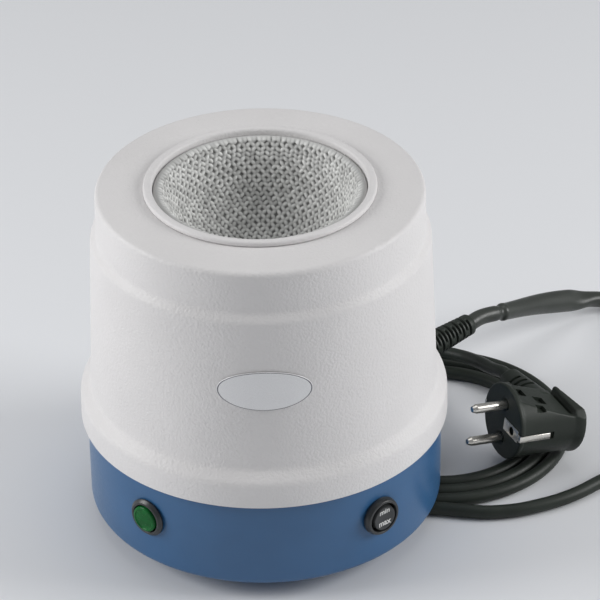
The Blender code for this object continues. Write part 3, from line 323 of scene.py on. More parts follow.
# Studio
LAMP_AIM = (0, 0, 0.1)
LAMPS = (
    ("left", (-1.5, -0.1, 0.8), 0.9, 17.0),
    ("right", (1.5, -0.1, 0.8), 0.9, 16.5),
    ("top", (0.0, 0.25, 1.6), 1.2, 3.4),
)
SKY_COLOUR = (0.95, 0.97, 1.0)
SKY_STRENGTH = 0.24
FLOOR_COLOUR = (0.8, 0.81, 0.83)
FLOOR_HALF_SIZE = 6.0

# Surfaces: the range in which noise mostly lies, mottling in grains, and the spread of the gloss
NOISE_LOW = 0.3
NOISE_HIGH = 0.7
MOTTLE_GRAINS = 20
GLOSS_SPREAD = 0.12


# Finishes

def new_finish(name, colour, roughness, metallic=0.0, **sockets):
    """A material with one shader, whose even values are set on the shader itself."""
    made = bpy.data.materials.new(name)
    made.use_nodes = True
    shader = made.node_tree.nodes["Principled BSDF"]
    shader.inputs["Base Color"].default_value = (*colour, 1.0)
    shader.inputs["Roughness"].default_value = roughness
    shader.inputs["Metallic"].default_value = metallic
    for socket, value in sockets.items():
        shader.inputs[socket.replace("_", " ")].default_value = value
    return made


def node(finish, kind, **inputs):
    made = finish.node_tree.nodes.new(kind)
    for name, value in inputs.items():
        made.inputs[name.replace("_", " ")].default_value = value
    return made


def join(finish, source, target):
    finish.node_tree.links.new(source, target)


def place(finish, stretch=None):
    """The surface's own coordinates in metres, stretched along an axis where that is given."""
    coordinates = node(finish, "ShaderNodeTexCoord").outputs["Object"]
    if stretch is None:
        return coordinates
    mapping = node(finish, "ShaderNodeMapping", Scale=stretch)
    join(finish, coordinates, mapping.inputs["Vector"])
    return mapping.outputs["Vector"]


def noise(finish, grain, detail=3.0, stretch=None):
    """Noise whose lumps are about grain metres across."""
    made = node(finish, "ShaderNodeTexNoise", Scale=1.0 / grain, Detail=detail)
    join(finish, place(finish, stretch), made.inputs["Vector"])
    return made.outputs["Fac"]


def shader_of(finish):
    return finish.node_tree.nodes["Principled BSDF"]


def tint(finish, factor, dark, light, low=NOISE_LOW, high=NOISE_HIGH):
    """Base colour that runs from dark to light as the factor goes from low to high."""
    ramp = node(finish, "ShaderNodeValToRGB")
    ramp.color_ramp.elements[0].position = low
    ramp.color_ramp.elements[0].color = (*dark, 1.0)
    ramp.color_ramp.elements[1].position = high
    ramp.color_ramp.elements[1].color = (*light, 1.0)
    join(finish, factor, ramp.inputs["Fac"])
    join(finish, ramp.outputs["Color"], shader_of(finish).inputs["Base Color"])


def gloss(finish, factor, low, high):
    """Roughness that runs from low to high over the range of the noise."""
    spread = node(finish, "ShaderNodeMapRange")
    spread.inputs["From Min"].default_value = NOISE_LOW
    spread.inputs["From Max"].default_value = NOISE_HIGH
    spread.inputs["To Min"].default_value = low
    spread.inputs["To Max"].default_value = high
    join(finish, factor, spread.inputs["Value"])
    join(finish, spread.outputs["Result"], shader_of(finish).inputs["Roughness"])


def relief(finish, factor, depth, strength=1.0):
    bump = node(finish, "ShaderNodeBump", Strength=strength, Distance=depth)
    join(finish, factor, bump.inputs["Height"])
    join(finish, bump.outputs["Normal"], shader_of(finish).inputs["Normal"])


def shade(colour, factor):
    return tuple(min(1.0, c * factor) for c in colour)


def plain_finish(name, colour, roughness, metallic, grain, depth, spread=0.08, **sockets):
    """A surface of one colour with the faint mottling, gloss changes and grain of its material."""
    finish = new_finish(name, colour, roughness, metallic, **sockets)
    wide = noise(finish, MOTTLE_GRAINS * grain, detail=2.0)
    fine = noise(finish, grain)
    tint(finish, wide, shade(colour, 1 - spread), shade(colour, 1 + spread))
    gloss(finish, fine, roughness * (1 - GLOSS_SPREAD), min(1.0, roughness * (1 + GLOSS_SPREAD)))
    relief(finish, fine, depth)
    return finish


def powder_coat():
    colour = (0.755, 0.738, 0.735)
    finish = new_finish("white_coat", colour, 0.45)
    peel = noise(finish, 1.3 * MM, detail=2.0)
    tint(finish, noise(finish, 45 * MM, detail=2.0), shade(colour, 0.975), shade(colour, 1.025))
    gloss(finish, peel, 0.44, 0.58)
    relief(finish, peel, 0.3 * MM, 0.95)
    return finish


def knit_finish():
    """Glass yarn with fine filaments: painted shade darkens it between the stitches and a painted
    highlight lightens their crowns.
    """
    finish = new_finish("glass_knit", (0.5, 0.5, 0.49), 0.55, Sheen_Weight=0.25, Sheen_Roughness=0.4)
    # The crown attribute holds painted shade and painted highlight from each stitch's height, times its
    # random tone.
    crown = node(finish, "ShaderNodeAttribute")
    crown.attribute_name = "crown"
    tint(finish, crown.outputs["Fac"], (0.15, 0.15, 0.145), (0.85, 0.85, 0.83), 0.05, 0.85)
    relief(finish, noise(finish, 0.22 * MM, detail=2.0, stretch=(1.0, 1.0, 4.0)), 0.08 * MM, 0.7)
    return finish


def lens_finish():
    colour = (0.003, 0.098, 0.018)
    finish = new_finish("green_lens", colour, 0.25, Specular_IOR_Level=0.2)
    grain = noise(finish, 0.9 * MM, detail=2.0)
    tint(finish, noise(finish, 5 * MM), shade(colour, 0.75), shade(colour, 1.35))
    gloss(finish, grain, 0.18, 0.3)
    relief(finish, grain, 0.06 * MM, 0.5)
    return finish


def brushed(name, colour, roughness, stretch, metallic=1.0):
    finish = new_finish(name, colour, roughness, metallic)
    lines = noise(finish, 0.6 * MM, detail=3.0, stretch=stretch)
    tint(finish, lines, shade(colour, 0.9), shade(colour, 1.06))
    gloss(finish, lines, roughness * 0.8, roughness * 1.25)
    relief(finish, lines, 0.01 * MM, 0.4)
    return finish


FINISHES = {
    "white_coat": powder_coat(),
    "blue_base": plain_finish(
        "blue_base",
        (0.033, 0.117, 0.262),
        0.32,
        0.0,
        1.2 * MM,
        0.015 * MM,
        0.05,
        Specular_IOR_Level=0.6,
    ),
    "black_plastic": plain_finish(
        "black_plastic", (0.034, 0.036, 0.037), 0.34, 0.0, 0.5 * MM, 0.03 * MM
    ),
    "black_rubber": plain_finish(
        "black_rubber",
        (0.023, 0.029, 0.023),
        0.48,
        0.0,
        0.8 * MM,
        0.03 * MM,
        0.15,
        Specular_IOR_Level=0.36,
    ),
    "green_lens": lens_finish(),
    "glass_knit": knit_finish(),
    "mineral_wool": plain_finish("mineral_wool", (0.7, 0.66, 0.56), 0.95, 0.0, 1.0 * MM, 0.4 * MM, 0.2),
    "aluminium": brushed("aluminium", (0.8, 0.81, 0.82), 0.35, (1.0, 1.0, 8.0)),
    "steel": brushed("steel", (0.6, 0.6, 0.61), 0.32, (1.0, 1.0, 6.0)),
    "nickel": brushed("nickel", (0.86, 0.83, 0.77), 0.26, (1.0, 5.0, 5.0)),
    "brass": brushed("brass", (0.78, 0.58, 0.27), 0.3, (1.0, 1.0, 6.0)),
    "ceramic": plain_finish("ceramic", (0.8, 0.78, 0.73), 0.55, 0.0, 0.8 * MM, 0.02 * MM),
    "badge_foil": brushed("badge_foil", (0.82, 0.82, 0.83), 0.38, (1.0, 1.0, 9.0), 0.3),
    "heater_alloy": brushed("heater_alloy", (0.3, 0.28, 0.27), 0.5, (1.0, 1.0, 3.0)),
    "wire_brown": plain_finish("wire_brown", (0.16, 0.06, 0.03), 0.5, 0.0, 0.6 * MM, 0.02 * MM),
    "wire_blue": plain_finish("wire_blue", (0.03, 0.1, 0.4), 0.5, 0.0, 0.6 * MM, 0.02 * MM),
    "wire_earth": plain_finish("wire_earth", (0.35, 0.42, 0.04), 0.5, 0.0, 0.6 * MM, 0.02 * MM),
    "wire_white": plain_finish("wire_white", (0.75, 0.74, 0.7), 0.6, 0.0, 0.6 * MM, 0.02 * MM),
}
SHRINK_TUBE = plain_finish("shrink_tube", (0.04, 0.045, 0.039), 0.38, 0.0, 1.5 * MM, 0.05 * MM, 0.2)
BLACK_STEEL = plain_finish("black_steel", (0.02, 0.02, 0.021), 0.5, 0.3, 0.5 * MM, 0.01 * MM)
PRINT_WHITE = plain_finish("print_white", (0.72, 0.72, 0.7), 0.55, 0.0, 0.4 * MM, 0.01 * MM)
PRINT_GREY = plain_finish("print_grey", (0.16, 0.16, 0.18), 0.5, 0.0, 0.4 * MM, 0.01 * MM)


def dress_nodes():
    """Each solid that stays in view, or inside, gets its slot's finish."""
    for part in frame["record"]["subparts"]:
        solid = frame["nodes"][part["node"]]
        solid.data.materials.clear()
        blackened = part["node"] == "rocker_pin"
        solid.data.materials.append(BLACK_STEEL if blackened else FINISHES[part["material_slot"]])


# Building pieces

def piece(name, mesh, slot, body="mantle", stands_for=(), finish=None, sharp=SHARP_ANGLE):
    mesh.shade_smooth()
    mesh.set_sharp_from_angle(angle=math.radians(sharp))
    mesh.materials.clear()
    mesh.materials.append(finish or FINISHES[slot])
    obj = bpy.data.objects.new(name, mesh)
    bpy.context.scene.collection.objects.link(obj)
    return settled(obj, body, stands_for)


def settled(obj, body="mantle", stands_for=()):
    """The object tied to its body, with the solids that it takes the place of hidden."""
    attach(obj, body)
    if stands_for:
        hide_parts(*stands_for)
    return obj


def rounded(corners):
    """An outline of (radius, height, fillet) corners, each fillet drawn as an arc."""
    outline = []
    for i, (radius, height, fillet) in enumerate(corners):
        here = Vector((radius, height))
        if fillet == 0:
            outline.append((radius, height))
            continue
        before = (Vector(corners[i - 1][:2]) - here).normalized()
        after = (Vector(corners[(i + 1) % len(corners)][:2]) - here).normalized()
        half = before.angle(after) / 2
        centre = here + (before + after).normalized() * fillet / math.sin(half)
        start = here + before * fillet / math.tan(half) - centre
        turn = start.angle_signed(here + after * fillet / math.tan(half) - centre)
        for k in range(FILLET_STEPS + 1):
            spoke = Matrix.Rotation(-turn * k / FILLET_STEPS, 2) @ start
            outline.append(tuple(centre + spoke))
    return outline


def mesh_from(name, work, matrix=None):
    bmesh.ops.recalc_face_normals(work, faces=work.faces)
    mesh = bpy.data.meshes.new(name)
    work.to_mesh(mesh)
    work.free()
    if matrix:
        mesh.transform(matrix)
    return mesh


def turned(name, outline, sides=SMALL_SIDES, matrix=None):
    """A closed solid turned about Z from an outline of (radius, height) points."""
    work = bmesh.new()
    rings = []
    for radius, height in outline:
        if radius == 0:
            rings.append([work.verts.new((0, 0, height))] * sides)
            continue
        turn = [2 * math.pi * i / sides for i in range(sides)]
        spots = [(radius * math.cos(a), radius * math.sin(a), height) for a in turn]
        rings.append([work.verts.new(spot) for spot in spots])
    for here, there in zip(rings, rings[1:] + rings[:1]):
        for i in range(sides):
            corners = [here[i], here[(i + 1) % sides], there[(i + 1) % sides], there[i]]
            distinct = list(dict.fromkeys(corners))
            if len(distinct) > 2:
                work.faces.new(distinct)
    return mesh_from(name, work, matrix)


def grid_mesh(name, rings, matrix=None, hoop=False):
    """A closed skin over rings of as many points each, with a face at both ends or round a hoop."""
    work = bmesh.new()
    made = [[work.verts.new(p) for p in ring] for ring in rings]
    count = len(made[0])
    following = made[1:] + made[:1] if hoop else made[1:]
    for here, there in zip(made, following):
        for i in range(count):
            j = (i + 1) % count
            work.faces.new([here[i], here[j], there[j], there[i]])
    if not hoop:
        work.faces.new(made[0][::-1])
        work.faces.new(made[-1])
    return mesh_from(name, work, matrix)


def box_mesh(name, low, high, matrix=None, edge=0.0):
    work = bmesh.new()
    bmesh.ops.create_cube(work, size=1.0)
    size = Vector(high) - Vector(low)
    bmesh.ops.scale(work, vec=size, verts=work.verts)
    bmesh.ops.translate(work, vec=(Vector(low) + Vector(high)) / 2, verts=work.verts)
    if edge:
        bmesh.ops.bevel(
            work,
            geom=work.edges[:],
            offset=edge,
            segments=BLOCK_EDGE_STEPS,
            affect="EDGES",
            profile=0.5,
        )
    return mesh_from(name, work, matrix)


def carved(mesh, cutters, operation="DIFFERENCE"):
    """The mesh with cutter meshes taken away from it, or joined to it."""
    obj = bpy.data.objects.new(mesh.name, mesh)
    bpy.context.scene.collection.objects.link(obj)
    tools = []
    for cut in cutters:
        tool = bpy.data.objects.new("cutter", cut)
        bpy.context.scene.collection.objects.link(tool)
        step = obj.modifiers.new("cut", "BOOLEAN")
        step.operation = operation
        step.object = tool
        tools.append(tool)
    result = bpy.data.meshes.new_from_object(obj.evaluated_get(bpy.context.evaluated_depsgraph_get()))
    for done in (*tools, obj):
        bpy.data.objects.remove(done)
    result.name = mesh.name
    return result


def wall_frame(azimuth, height, radius):
    """A frame on a round wall: X to the right seen from outside, Y up, Z outwards."""
    a = math.radians(azimuth)
    right = Vector((math.cos(a), math.sin(a), 0))
    outward = Vector((math.sin(a), -math.cos(a), 0))
    made = Matrix((right, Vector((0, 0, 1)), outward)).transposed().to_4x4()
    made.translation = outward * radius + Vector((0, 0, height))
    return made


def smooth_curve(points, per_span):
    """Dense points on a smooth curve through the given ones."""
    padded = [2 * points[0] - points[1], *points, 2 * points[-1] - points[-2]]
    dense = []
    for a, b, c, d in zip(padded, padded[1:], padded[2:], padded[3:]):
        for i in range(per_span):
            t = i / per_span
            bend = (2 * a - 5 * b + 4 * c - d) * t**2 + (3 * b - a - 3 * c + d) * t**3
            dense.append(b + (c - a) * t / 2 + bend / 2)
    dense.append(points[-1])
    return dense


def millimetres(points):
    """Points given in millimetres, as vectors in metres."""
    return [Vector(p) * MM for p in points]


def mm_points(points):
    """Rows of numbers given in millimetres, as rows in metres."""
    return [tuple(c * MM for c in p) for p in points]


def make_camera():
    data = bpy.data.cameras.new("camera")
    data.lens = CAMERA_LENS
    data.sensor_width = CAMERA_SENSOR
    data.clip_start = CAMERA_NEAR
    data.clip_end = CAMERA_FAR
    camera = bpy.data.objects.new("camera", data)
    camera.location = CAMERA_PLACE
    tilt = Matrix.Rotation(math.radians(CAMERA_TILT), 3, "X")
    roll = Matrix.Rotation(math.radians(CAMERA_ROLL), 3, "Z")
    camera.rotation_euler = (tilt @ roll).to_euler()
    bpy.context.scene.collection.objects.link(camera)
    bpy.context.scene.camera = camera


# Mains lead

def relief_end():
    """Where the cord comes out of the strain relief, and the direction in which it does."""
    root = wall_frame(GLAND_AZIMUTH, GLAND_HEIGHT, BASE_RADIUS)
    outward = root.to_3x3() @ Vector((0, 0, 1))
    reach = GLAND_FLANGE + RELIEF_LENGTH + 3 * SEAT_GAP
    return root.translation + outward * reach, outward


def plug_frame():
    """X along the cable's way out, Y down along the line of the pins, Z along the pins."""
    forward = Vector(PLUG_PINS).normalized()
    cable = Vector(PLUG_CABLE)
    cable = (cable - forward * cable.dot(forward)).normalized()
    made = Matrix((cable, forward.cross(cable), forward)).transposed().to_4x4()
    made.translation = PLUG_FACE
    return made


def coil_point(turns):
    angle = math.radians(COIL_START) - 2 * math.pi * turns
    radius = COIL_RADIUS - COIL_PITCH * turns
    flat = Vector((math.cos(angle), math.sin(angle))) * radius + Vector(COIL_CENTRE)
    return Vector((*flat, CORD_DIAMETER / 2))


def sleeve_marks():
    start, outward = relief_end()
    marks = [(126, 117, 33), (146, 140.3, 22.5), (169.2, 161.6, 11.5)]
    marks += [(181.7, 168.3, 7.2), (194.3, 170.1, 5.2)]
    return [start, start + outward * 2 * SLEEVE_RADIUS, *millimetres(marks)]


def lead_marks():
    marks = [(208, 165.7, 4.2), (220, 153.6, 3.6), (225.8, 136.5, 3.5), (226, 112, 3.5)]
    marks += [(222.6, 85.3, 3.5), (214.1, 57.5, 3.5), (199.8, 33, 3.5), (183.4, 15.4, 3.5)]
    marks += [(167, 3.2, 3.5), (156.9, -5, 3.5), (146.3, -11.6, 3.5), (135.9, -16.2, 3.5)]
    marks += [(125.7, -19.6, 3.5), (115.6, -21.2, 3.5), (105.6, -21.2, 3.5)]
    return millimetres(marks)


def coil_marks():
    count = round(COIL_TURNS * COIL_POINTS)
    return [coil_point(i / COIL_POINTS) for i in range(count + 1)]


def tail_marks():
    marks = [(51, 81.5, 4.6), (59.5, 91, 7.6), (69, 101, 11.2), (79, 108, 12.4)]
    marks += [(91, 109, 13.2), (101.5, 102.5, 15), (107.5, 95, 17.5), (112.2, 87.2, 20)]
    marks.append((116.8, 78.1, 22.8))
    entry = plug_frame() @ Vector((PLUG_ARM_REACH, 0, -PLUG_ARM_DEPTH))
    out = plug_frame().to_3x3() @ Vector((1, 0, 0))
    return [*millimetres(marks), entry + out * CORD_DIAMETER, entry + out * SEAT_GAP]


def make_cord():
    marks = [*sleeve_marks(), *lead_marks(), *coil_marks(), *tail_marks()]
    points = smooth_curve(marks, CORD_SPAN_POINTS)
    curve = bpy.data.curves.new("mains_cord", "CURVE")
    curve.dimensions = "3D"
    curve.bevel_depth = CORD_DIAMETER / 2
    curve.bevel_resolution = CORD_ROUNDNESS
    curve.use_fill_caps = True
    spline = curve.splines.new("POLY")
    spline.points.add(len(points) - 1)
    for point, spot in zip(spline.points, points):
        point.co = (*spot, 1.0)
    spline.use_smooth = True
    curve.materials.append(FINISHES["black_rubber"])
    cord = bpy.data.objects.new("mains_cord", curve)
    bpy.context.scene.collection.objects.link(cord)
    return settled(cord, stands_for=("cord_lead", "cord_coil", "cord_tail"))


def eased(value, low, high):
    """0 up to low, 1 from high on, and a smooth rise between them."""
    share = min(1.0, max(0.0, (value - low) / (high - low)))
    return share * share * (3 - 2 * share)


def sleeve_section(reach):
    """Half widths of the sleeve at a distance from the relief, its wide side's turn, and its dent."""
    lap = eased(reach, SLEEVE_LAP_AT - SLEEVE_LAP_EASE, SLEEVE_LAP_AT + SLEEVE_LAP_EASE)
    bead = math.exp(-(((reach - SLEEVE_LAP_AT) / SLEEVE_BEAD_LENGTH - 1) ** 2))
    groove = math.exp(-(((reach - SLEEVE_LAP_AT) / SLEEVE_BEAD_LENGTH + 1) ** 2))
    flat = eased(reach, SLEEVE_LAP_AT, SLEEVE_FLAT_AT)
    twist = eased(reach, SLEEVE_FLAT_AT, SLEEVE_TWIST_END)
    radius = SLEEVE_THIN + SLEEVE_LAP * lap + SLEEVE_BEAD * bead - SLEEVE_GROOVE * groove
    wide = radius + SLEEVE_SPREAD * flat * (1 - SLEEVE_TWIST_LOSS * twist)
    narrow = radius - SLEEVE_PRESS * flat
    dent = SLEEVE_DENT * math.exp(-(((reach - SLEEVE_DENT_AT) / SLEEVE_DENT_LENGTH) ** 2))
    return wide, narrow, math.radians(SLEEVE_WIDE_SIDE + SLEEVE_TWIST * twist), dent


def make_sleeve():
    """A shrunk-on sleeve over the first stretch: lapped a short way out, then flat and twisted."""
    sides = MINOR_SIDES
    path = smooth_curve(sleeve_marks(), SLEEVE_SPAN_POINTS)
    reach = 0.0
    rings = []
    for i, here in enumerate(path):
        reach += (here - path[max(i - 1, 0)]).length
        ahead = (path[min(i + 1, len(path) - 1)] - path[max(i - 1, 0)]).normalized()
        across = ahead.cross(Vector((0, 0, 1))).normalized()
        rise = across.cross(ahead)
        wide, narrow, turn, dent = sleeve_section(reach)
        ring = []
        for k in range(sides):
            a = 2 * math.pi * k / sides
            radius = wide * narrow / math.hypot(narrow * math.cos(a - turn), wide * math.sin(a - turn))
            radius -= dent * max(0.0, math.cos(a - math.radians(SLEEVE_DENT_SIDE))) ** 2
            ring.append(here + (across * math.cos(a) + rise * math.sin(a)) * radius)
        rings.append(ring)
    mesh = grid_mesh("cord_sleeving", rings)
    return piece("cord_sleeving", mesh, "black_rubber", stands_for=("cord_sleeve",), finish=SHRINK_TUBE)


def make_relief():
    """A tapered bend protector with staggered slots between its ribs."""
    root = wall_frame(GLAND_AZIMUTH, GLAND_HEIGHT, BASE_RADIUS)
    low = GLAND_FLANGE + 2 * SEAT_GAP
    ribbed = RELIEF_LENGTH - RELIEF_ROOT_LENGTH - RELIEF_TIP_LENGTH
    pitch = ribbed / RELIEF_RIBS
    rings = []
    steps = RELIEF_RIBS * RELIEF_RIB_STEPS
    heights = [0.0, RELIEF_EDGE, RELIEF_ROOT_LENGTH - RELIEF_ROOT_STEP]
    heights += [RELIEF_ROOT_LENGTH + ribbed * k / steps for k in range(steps + 1)]
    heights += [RELIEF_LENGTH - RELIEF_TIP_STEP, RELIEF_LENGTH]
    for s in heights:
        share = min(1.0, max(0.0, (s - RELIEF_ROOT_LENGTH) / ribbed))
        radius = RELIEF_ROOT_RADIUS + (RELIEF_TIP_RADIUS - RELIEF_ROOT_RADIUS) * share
        if s in (0.0, RELIEF_LENGTH):
            radius -= RELIEF_EDGE
        rib = int((s - RELIEF_ROOT_LENGTH) / pitch)
        phase = (s - RELIEF_ROOT_LENGTH) / pitch - rib
        inside = 0 < share < 1
        slot = max(0.0, 1 - abs(phase - 0.5) / RELIEF_SLOT_SHARE) if inside else 0.0
        slot = min(1.0, RELIEF_SLOT_STEEPNESS * slot)
        ring = []
        for k in range(RELIEF_SIDES):
            a = 2 * math.pi * k / RELIEF_SIDES
            bridge = math.cos(2 * a + math.pi * (rib % 2))
            cut = slot * min(1.0, max(0.0, (RELIEF_BRIDGE - bridge) / RELIEF_BRIDGE_EASE))
            r = radius - RELIEF_SLOT_DEPTH * cut
            ring.append((r * math.cos(a), r * math.sin(a), low + s))
        rings.append(ring)
    mesh = grid_mesh("cord_protector", rings, root)
    return piece("cord_protector", mesh, "black_rubber", stands_for=("strain_relief",))


def make_gland():
    root = wall_frame(GLAND_AZIMUTH, GLAND_HEIGHT, BASE_RADIUS)
    top = SEAT_GAP + GLAND_FLANGE
    wide = GLAND_FLANGE_RADIUS
    corners = [(0, -GLAND_DEPTH, 0), (GLAND_THREAD, -GLAND_DEPTH, GLAND_END_EDGE)]
    corners += [(GLAND_THREAD, SEAT_GAP, 0), (wide, SEAT_GAP, GLAND_SEAT_EDGE)]
    corners += [(wide, top, GLAND_FRONT_EDGE), (0, top, 0)]
    mesh = turned("gland", rounded(corners), MINOR_SIDES, root)
    piece("gland", mesh, "black_plastic", stands_for=("gland_body",))


# Housing, collar and base

def make_housing():
    low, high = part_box("outer_housing")
    skirt = high.x
    mouth = OPENING_RADIUS + COLLAR_WALL + SEAT_GAP
    t = HOUSING_SHEET
    edge = BAND_RADIUS - BAND_DRAFT
    drop = t / 3
    outside = [(skirt, low.z, HEM_RADIUS), (skirt - SKIRT_DRAFT, SKIRT_TOP, SHOULDER_FILLET)]
    outside.append((CONE_BOTTOM_RADIUS, CONE_BOTTOM, SHOULDER_FILLET))
    outside.append((CONE_TOP_RADIUS, CONE_TOP, STEP_FILLET))
    outside += [(BAND_RADIUS, BAND_BOTTOM, STEP_FILLET), (edge, high.z, TOP_EDGE_RADIUS)]
    outside.append((mouth, high.z, MOUTH_EDGE))
    inside = [(mouth, high.z - t, MOUTH_EDGE), (edge - t, high.z - t, TOP_EDGE_RADIUS - t)]
    inside.append((BAND_RADIUS - t, BAND_BOTTOM - drop, INNER_FILLET))
    inside.append((CONE_TOP_RADIUS - t, CONE_TOP - drop, INNER_FILLET))
    inside.append((CONE_BOTTOM_RADIUS - t, CONE_BOTTOM - drop, INNER_SHOULDER_FILLET))
    inside += [(skirt - t, SKIRT_TOP - drop, INNER_FILLET), (skirt - t, low.z, HEM_RADIUS)]
    mesh = turned("housing", rounded(outside + inside), LARGE_SIDES)
    piece("housing", mesh, "white_coat", stands_for=("outer_housing",))


def make_collar():
    low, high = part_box("collar_ring")
    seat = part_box("outer_housing")[1].z + SEAT_GAP
    wall = OPENING_RADIUS + COLLAR_WALL
    lip = OPENING_RADIUS + COLLAR_LIP
    corners = [(OPENING_RADIUS, low.z, COLLAR_EDGE), (wall, low.z, COLLAR_EDGE), (wall, seat, 0)]
    corners += [(lip, seat, LIP_EDGE), (lip - LIP_EDGE, high.z, LIP_OUTER_ROUND)]
    corners.append((OPENING_RADIUS, high.z, LIP_INNER_ROUND))
    mesh = turned("collar", rounded(corners), LARGE_SIDES)
    piece("collar", mesh, "white_coat", stands_for=("collar_ring",))


def make_base():
    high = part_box("base_pan")[1]
    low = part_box("base_pan")[0].z
    inner = BASE_RADIUS - BASE_WALL
    floor = low + BASE_FLOOR
    corners = [(0, low, 0), (BASE_RADIUS, low, BASE_EDGE), (BASE_RADIUS, high.z, BASE_HEM)]
    corners += [(inner, high.z, BASE_HEM), (inner, floor, BASE_EDGE - BASE_WALL), (0, floor, 0)]
    shell = turned("base", rounded(corners), LARGE_SIDES)
    holes = []
    for azimuth, height, radius in (
        (BUTTON_AZIMUTH, CONTROL_HEIGHT, BARREL_RADIUS),
        (ROCKER_AZIMUTH, CONTROL_HEIGHT, BARREL_RADIUS),
        (GLAND_AZIMUTH, GLAND_HEIGHT, GLAND_THREAD),
    ):
        wide = radius + SEAT_GAP
        outline = [(0, -HOLE_REACH), (wide, -HOLE_REACH), (wide, HOLE_REACH), (0, HOLE_REACH)]
        holes.append(turned("hole", outline, MINOR_SIDES, wall_frame(azimuth, height, BASE_RADIUS)))
    piece("base", carved(shell, holes), "blue_base", stands_for=("base_pan",))


def make_feet():
    for i in (1, 2, 3):
        low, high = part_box(f"rubber_foot_{i}")
        middle = (low + high) / 2
        radius = (high.x - low.x) / 2
        well, deep = FOOT_WELL
        corners = [(well, 0, FOOT_WELL_EDGE), (radius - FOOT_TAPER, 0, FOOT_BOTTOM_EDGE)]
        corners += [(radius, high.z, FOOT_TOP_EDGE), (FOOT_BORE, high.z, 0)]
        corners += [(FOOT_BORE, deep, FOOT_BORE_EDGE), (well, deep, FOOT_BORE_EDGE)]
        spot = Matrix.Translation((middle.x, middle.y, 0))
        mesh = turned(f"foot_{i}", rounded(corners), MINOR_SIDES, spot)
        piece(f"foot_{i}", mesh, "black_rubber", stands_for=(f"rubber_foot_{i}",))


# Nest

def nest_meridian():
    """Points of the nest's inside from its rim down to its middle, with the way each faces."""
    flare = math.radians(NEST_FLARE_ANGLE)
    line = [(NEST_RIM_RADIUS, NEST_RIM_HEIGHT)]
    join_r = NEST_RADIUS * math.cos(flare)
    join_z = NEST_CENTRE - NEST_RADIUS * math.sin(flare)
    for k in range(1, FLARE_STEPS):
        t = k / FLARE_STEPS
        bulged = t + NEST_FLARE_BULGE * math.sin(math.pi * t)
        radius = NEST_RIM_RADIUS + (join_r - NEST_RIM_RADIUS) * bulged
        line.append((radius, NEST_RIM_HEIGHT + (join_z - NEST_RIM_HEIGHT) * t))
    for k in range(BOWL_STEPS + 1):
        a = flare + (math.pi / 2 - flare) * k / BOWL_STEPS
        line.append((NEST_RADIUS * math.cos(a), NEST_CENTRE - NEST_RADIUS * math.sin(a)))
    line = np.array(line)
    steps = np.hypot(*np.diff(line, axis=0).T)
    reach = np.concatenate([[0.0], np.cumsum(steps)])
    wanted = np.linspace(0, reach[-1], NEST_ROWS)
    radius = np.interp(wanted, reach, line[:, 0])
    height = np.interp(wanted, reach, line[:, 1])
    slope_r = np.gradient(radius, wanted)
    slope_z = np.gradient(height, wanted)
    return wanted, radius, height, slope_z, -slope_r


def stitch_height(along, radius, angle):
    """Height of the stitches' crowns, 0 between them and about 1 on top, and their brightness as
    painted shade: the crown height times a random tone per stitch.
    """
    chance = np.random.default_rng(STITCH_SEED)
    best = np.zeros((len(along), len(angle)))
    painted_shade_and_tone = np.zeros_like(best)
    for middle in np.arange(0.0, along[-1], COURSE_PITCH):
        near = np.abs(along - middle) < STITCH_HALF_HEIGHT
        ring = np.interp(middle, along, radius)
        count = max(FEWEST_STITCHES, 2 * round(math.pi * ring / STITCH_PITCH))
        turn = angle / (2 * math.pi) * count + chance.uniform(0, 1)
        stitch = np.floor(turn).astype(int) % count
        lean = np.where(stitch % 2 == 0, STITCH_LEAN, -STITCH_LEAN)
        slip = chance.uniform(-STITCH_SLIP, STITCH_SLIP, count)[stitch]
        size = chance.uniform(*STITCH_SIZES, count)[stitch]
        across = (turn - np.floor(turn) - 0.5 + slip) * 2 * math.pi * ring / count / STITCH_HALF_WIDTH
        up = (along[near, None] - middle) / STITCH_HALF_HEIGHT
        crown = size * np.sqrt(np.clip(1 - up**2 - (across + lean * up) ** 2, 0, None))
        higher = crown > best[near]
        best[near] = np.where(higher, crown, best[near])
        # Painted shade and highlight: a stitch's brightness follows its crown height, times its random
        # tone.
        painted_shade_and_tone[near] = np.where(higher, crown * chance.uniform(*STITCH_TONES, count)[stitch], painted_shade_and_tone[near])
    return best, painted_shade_and_tone


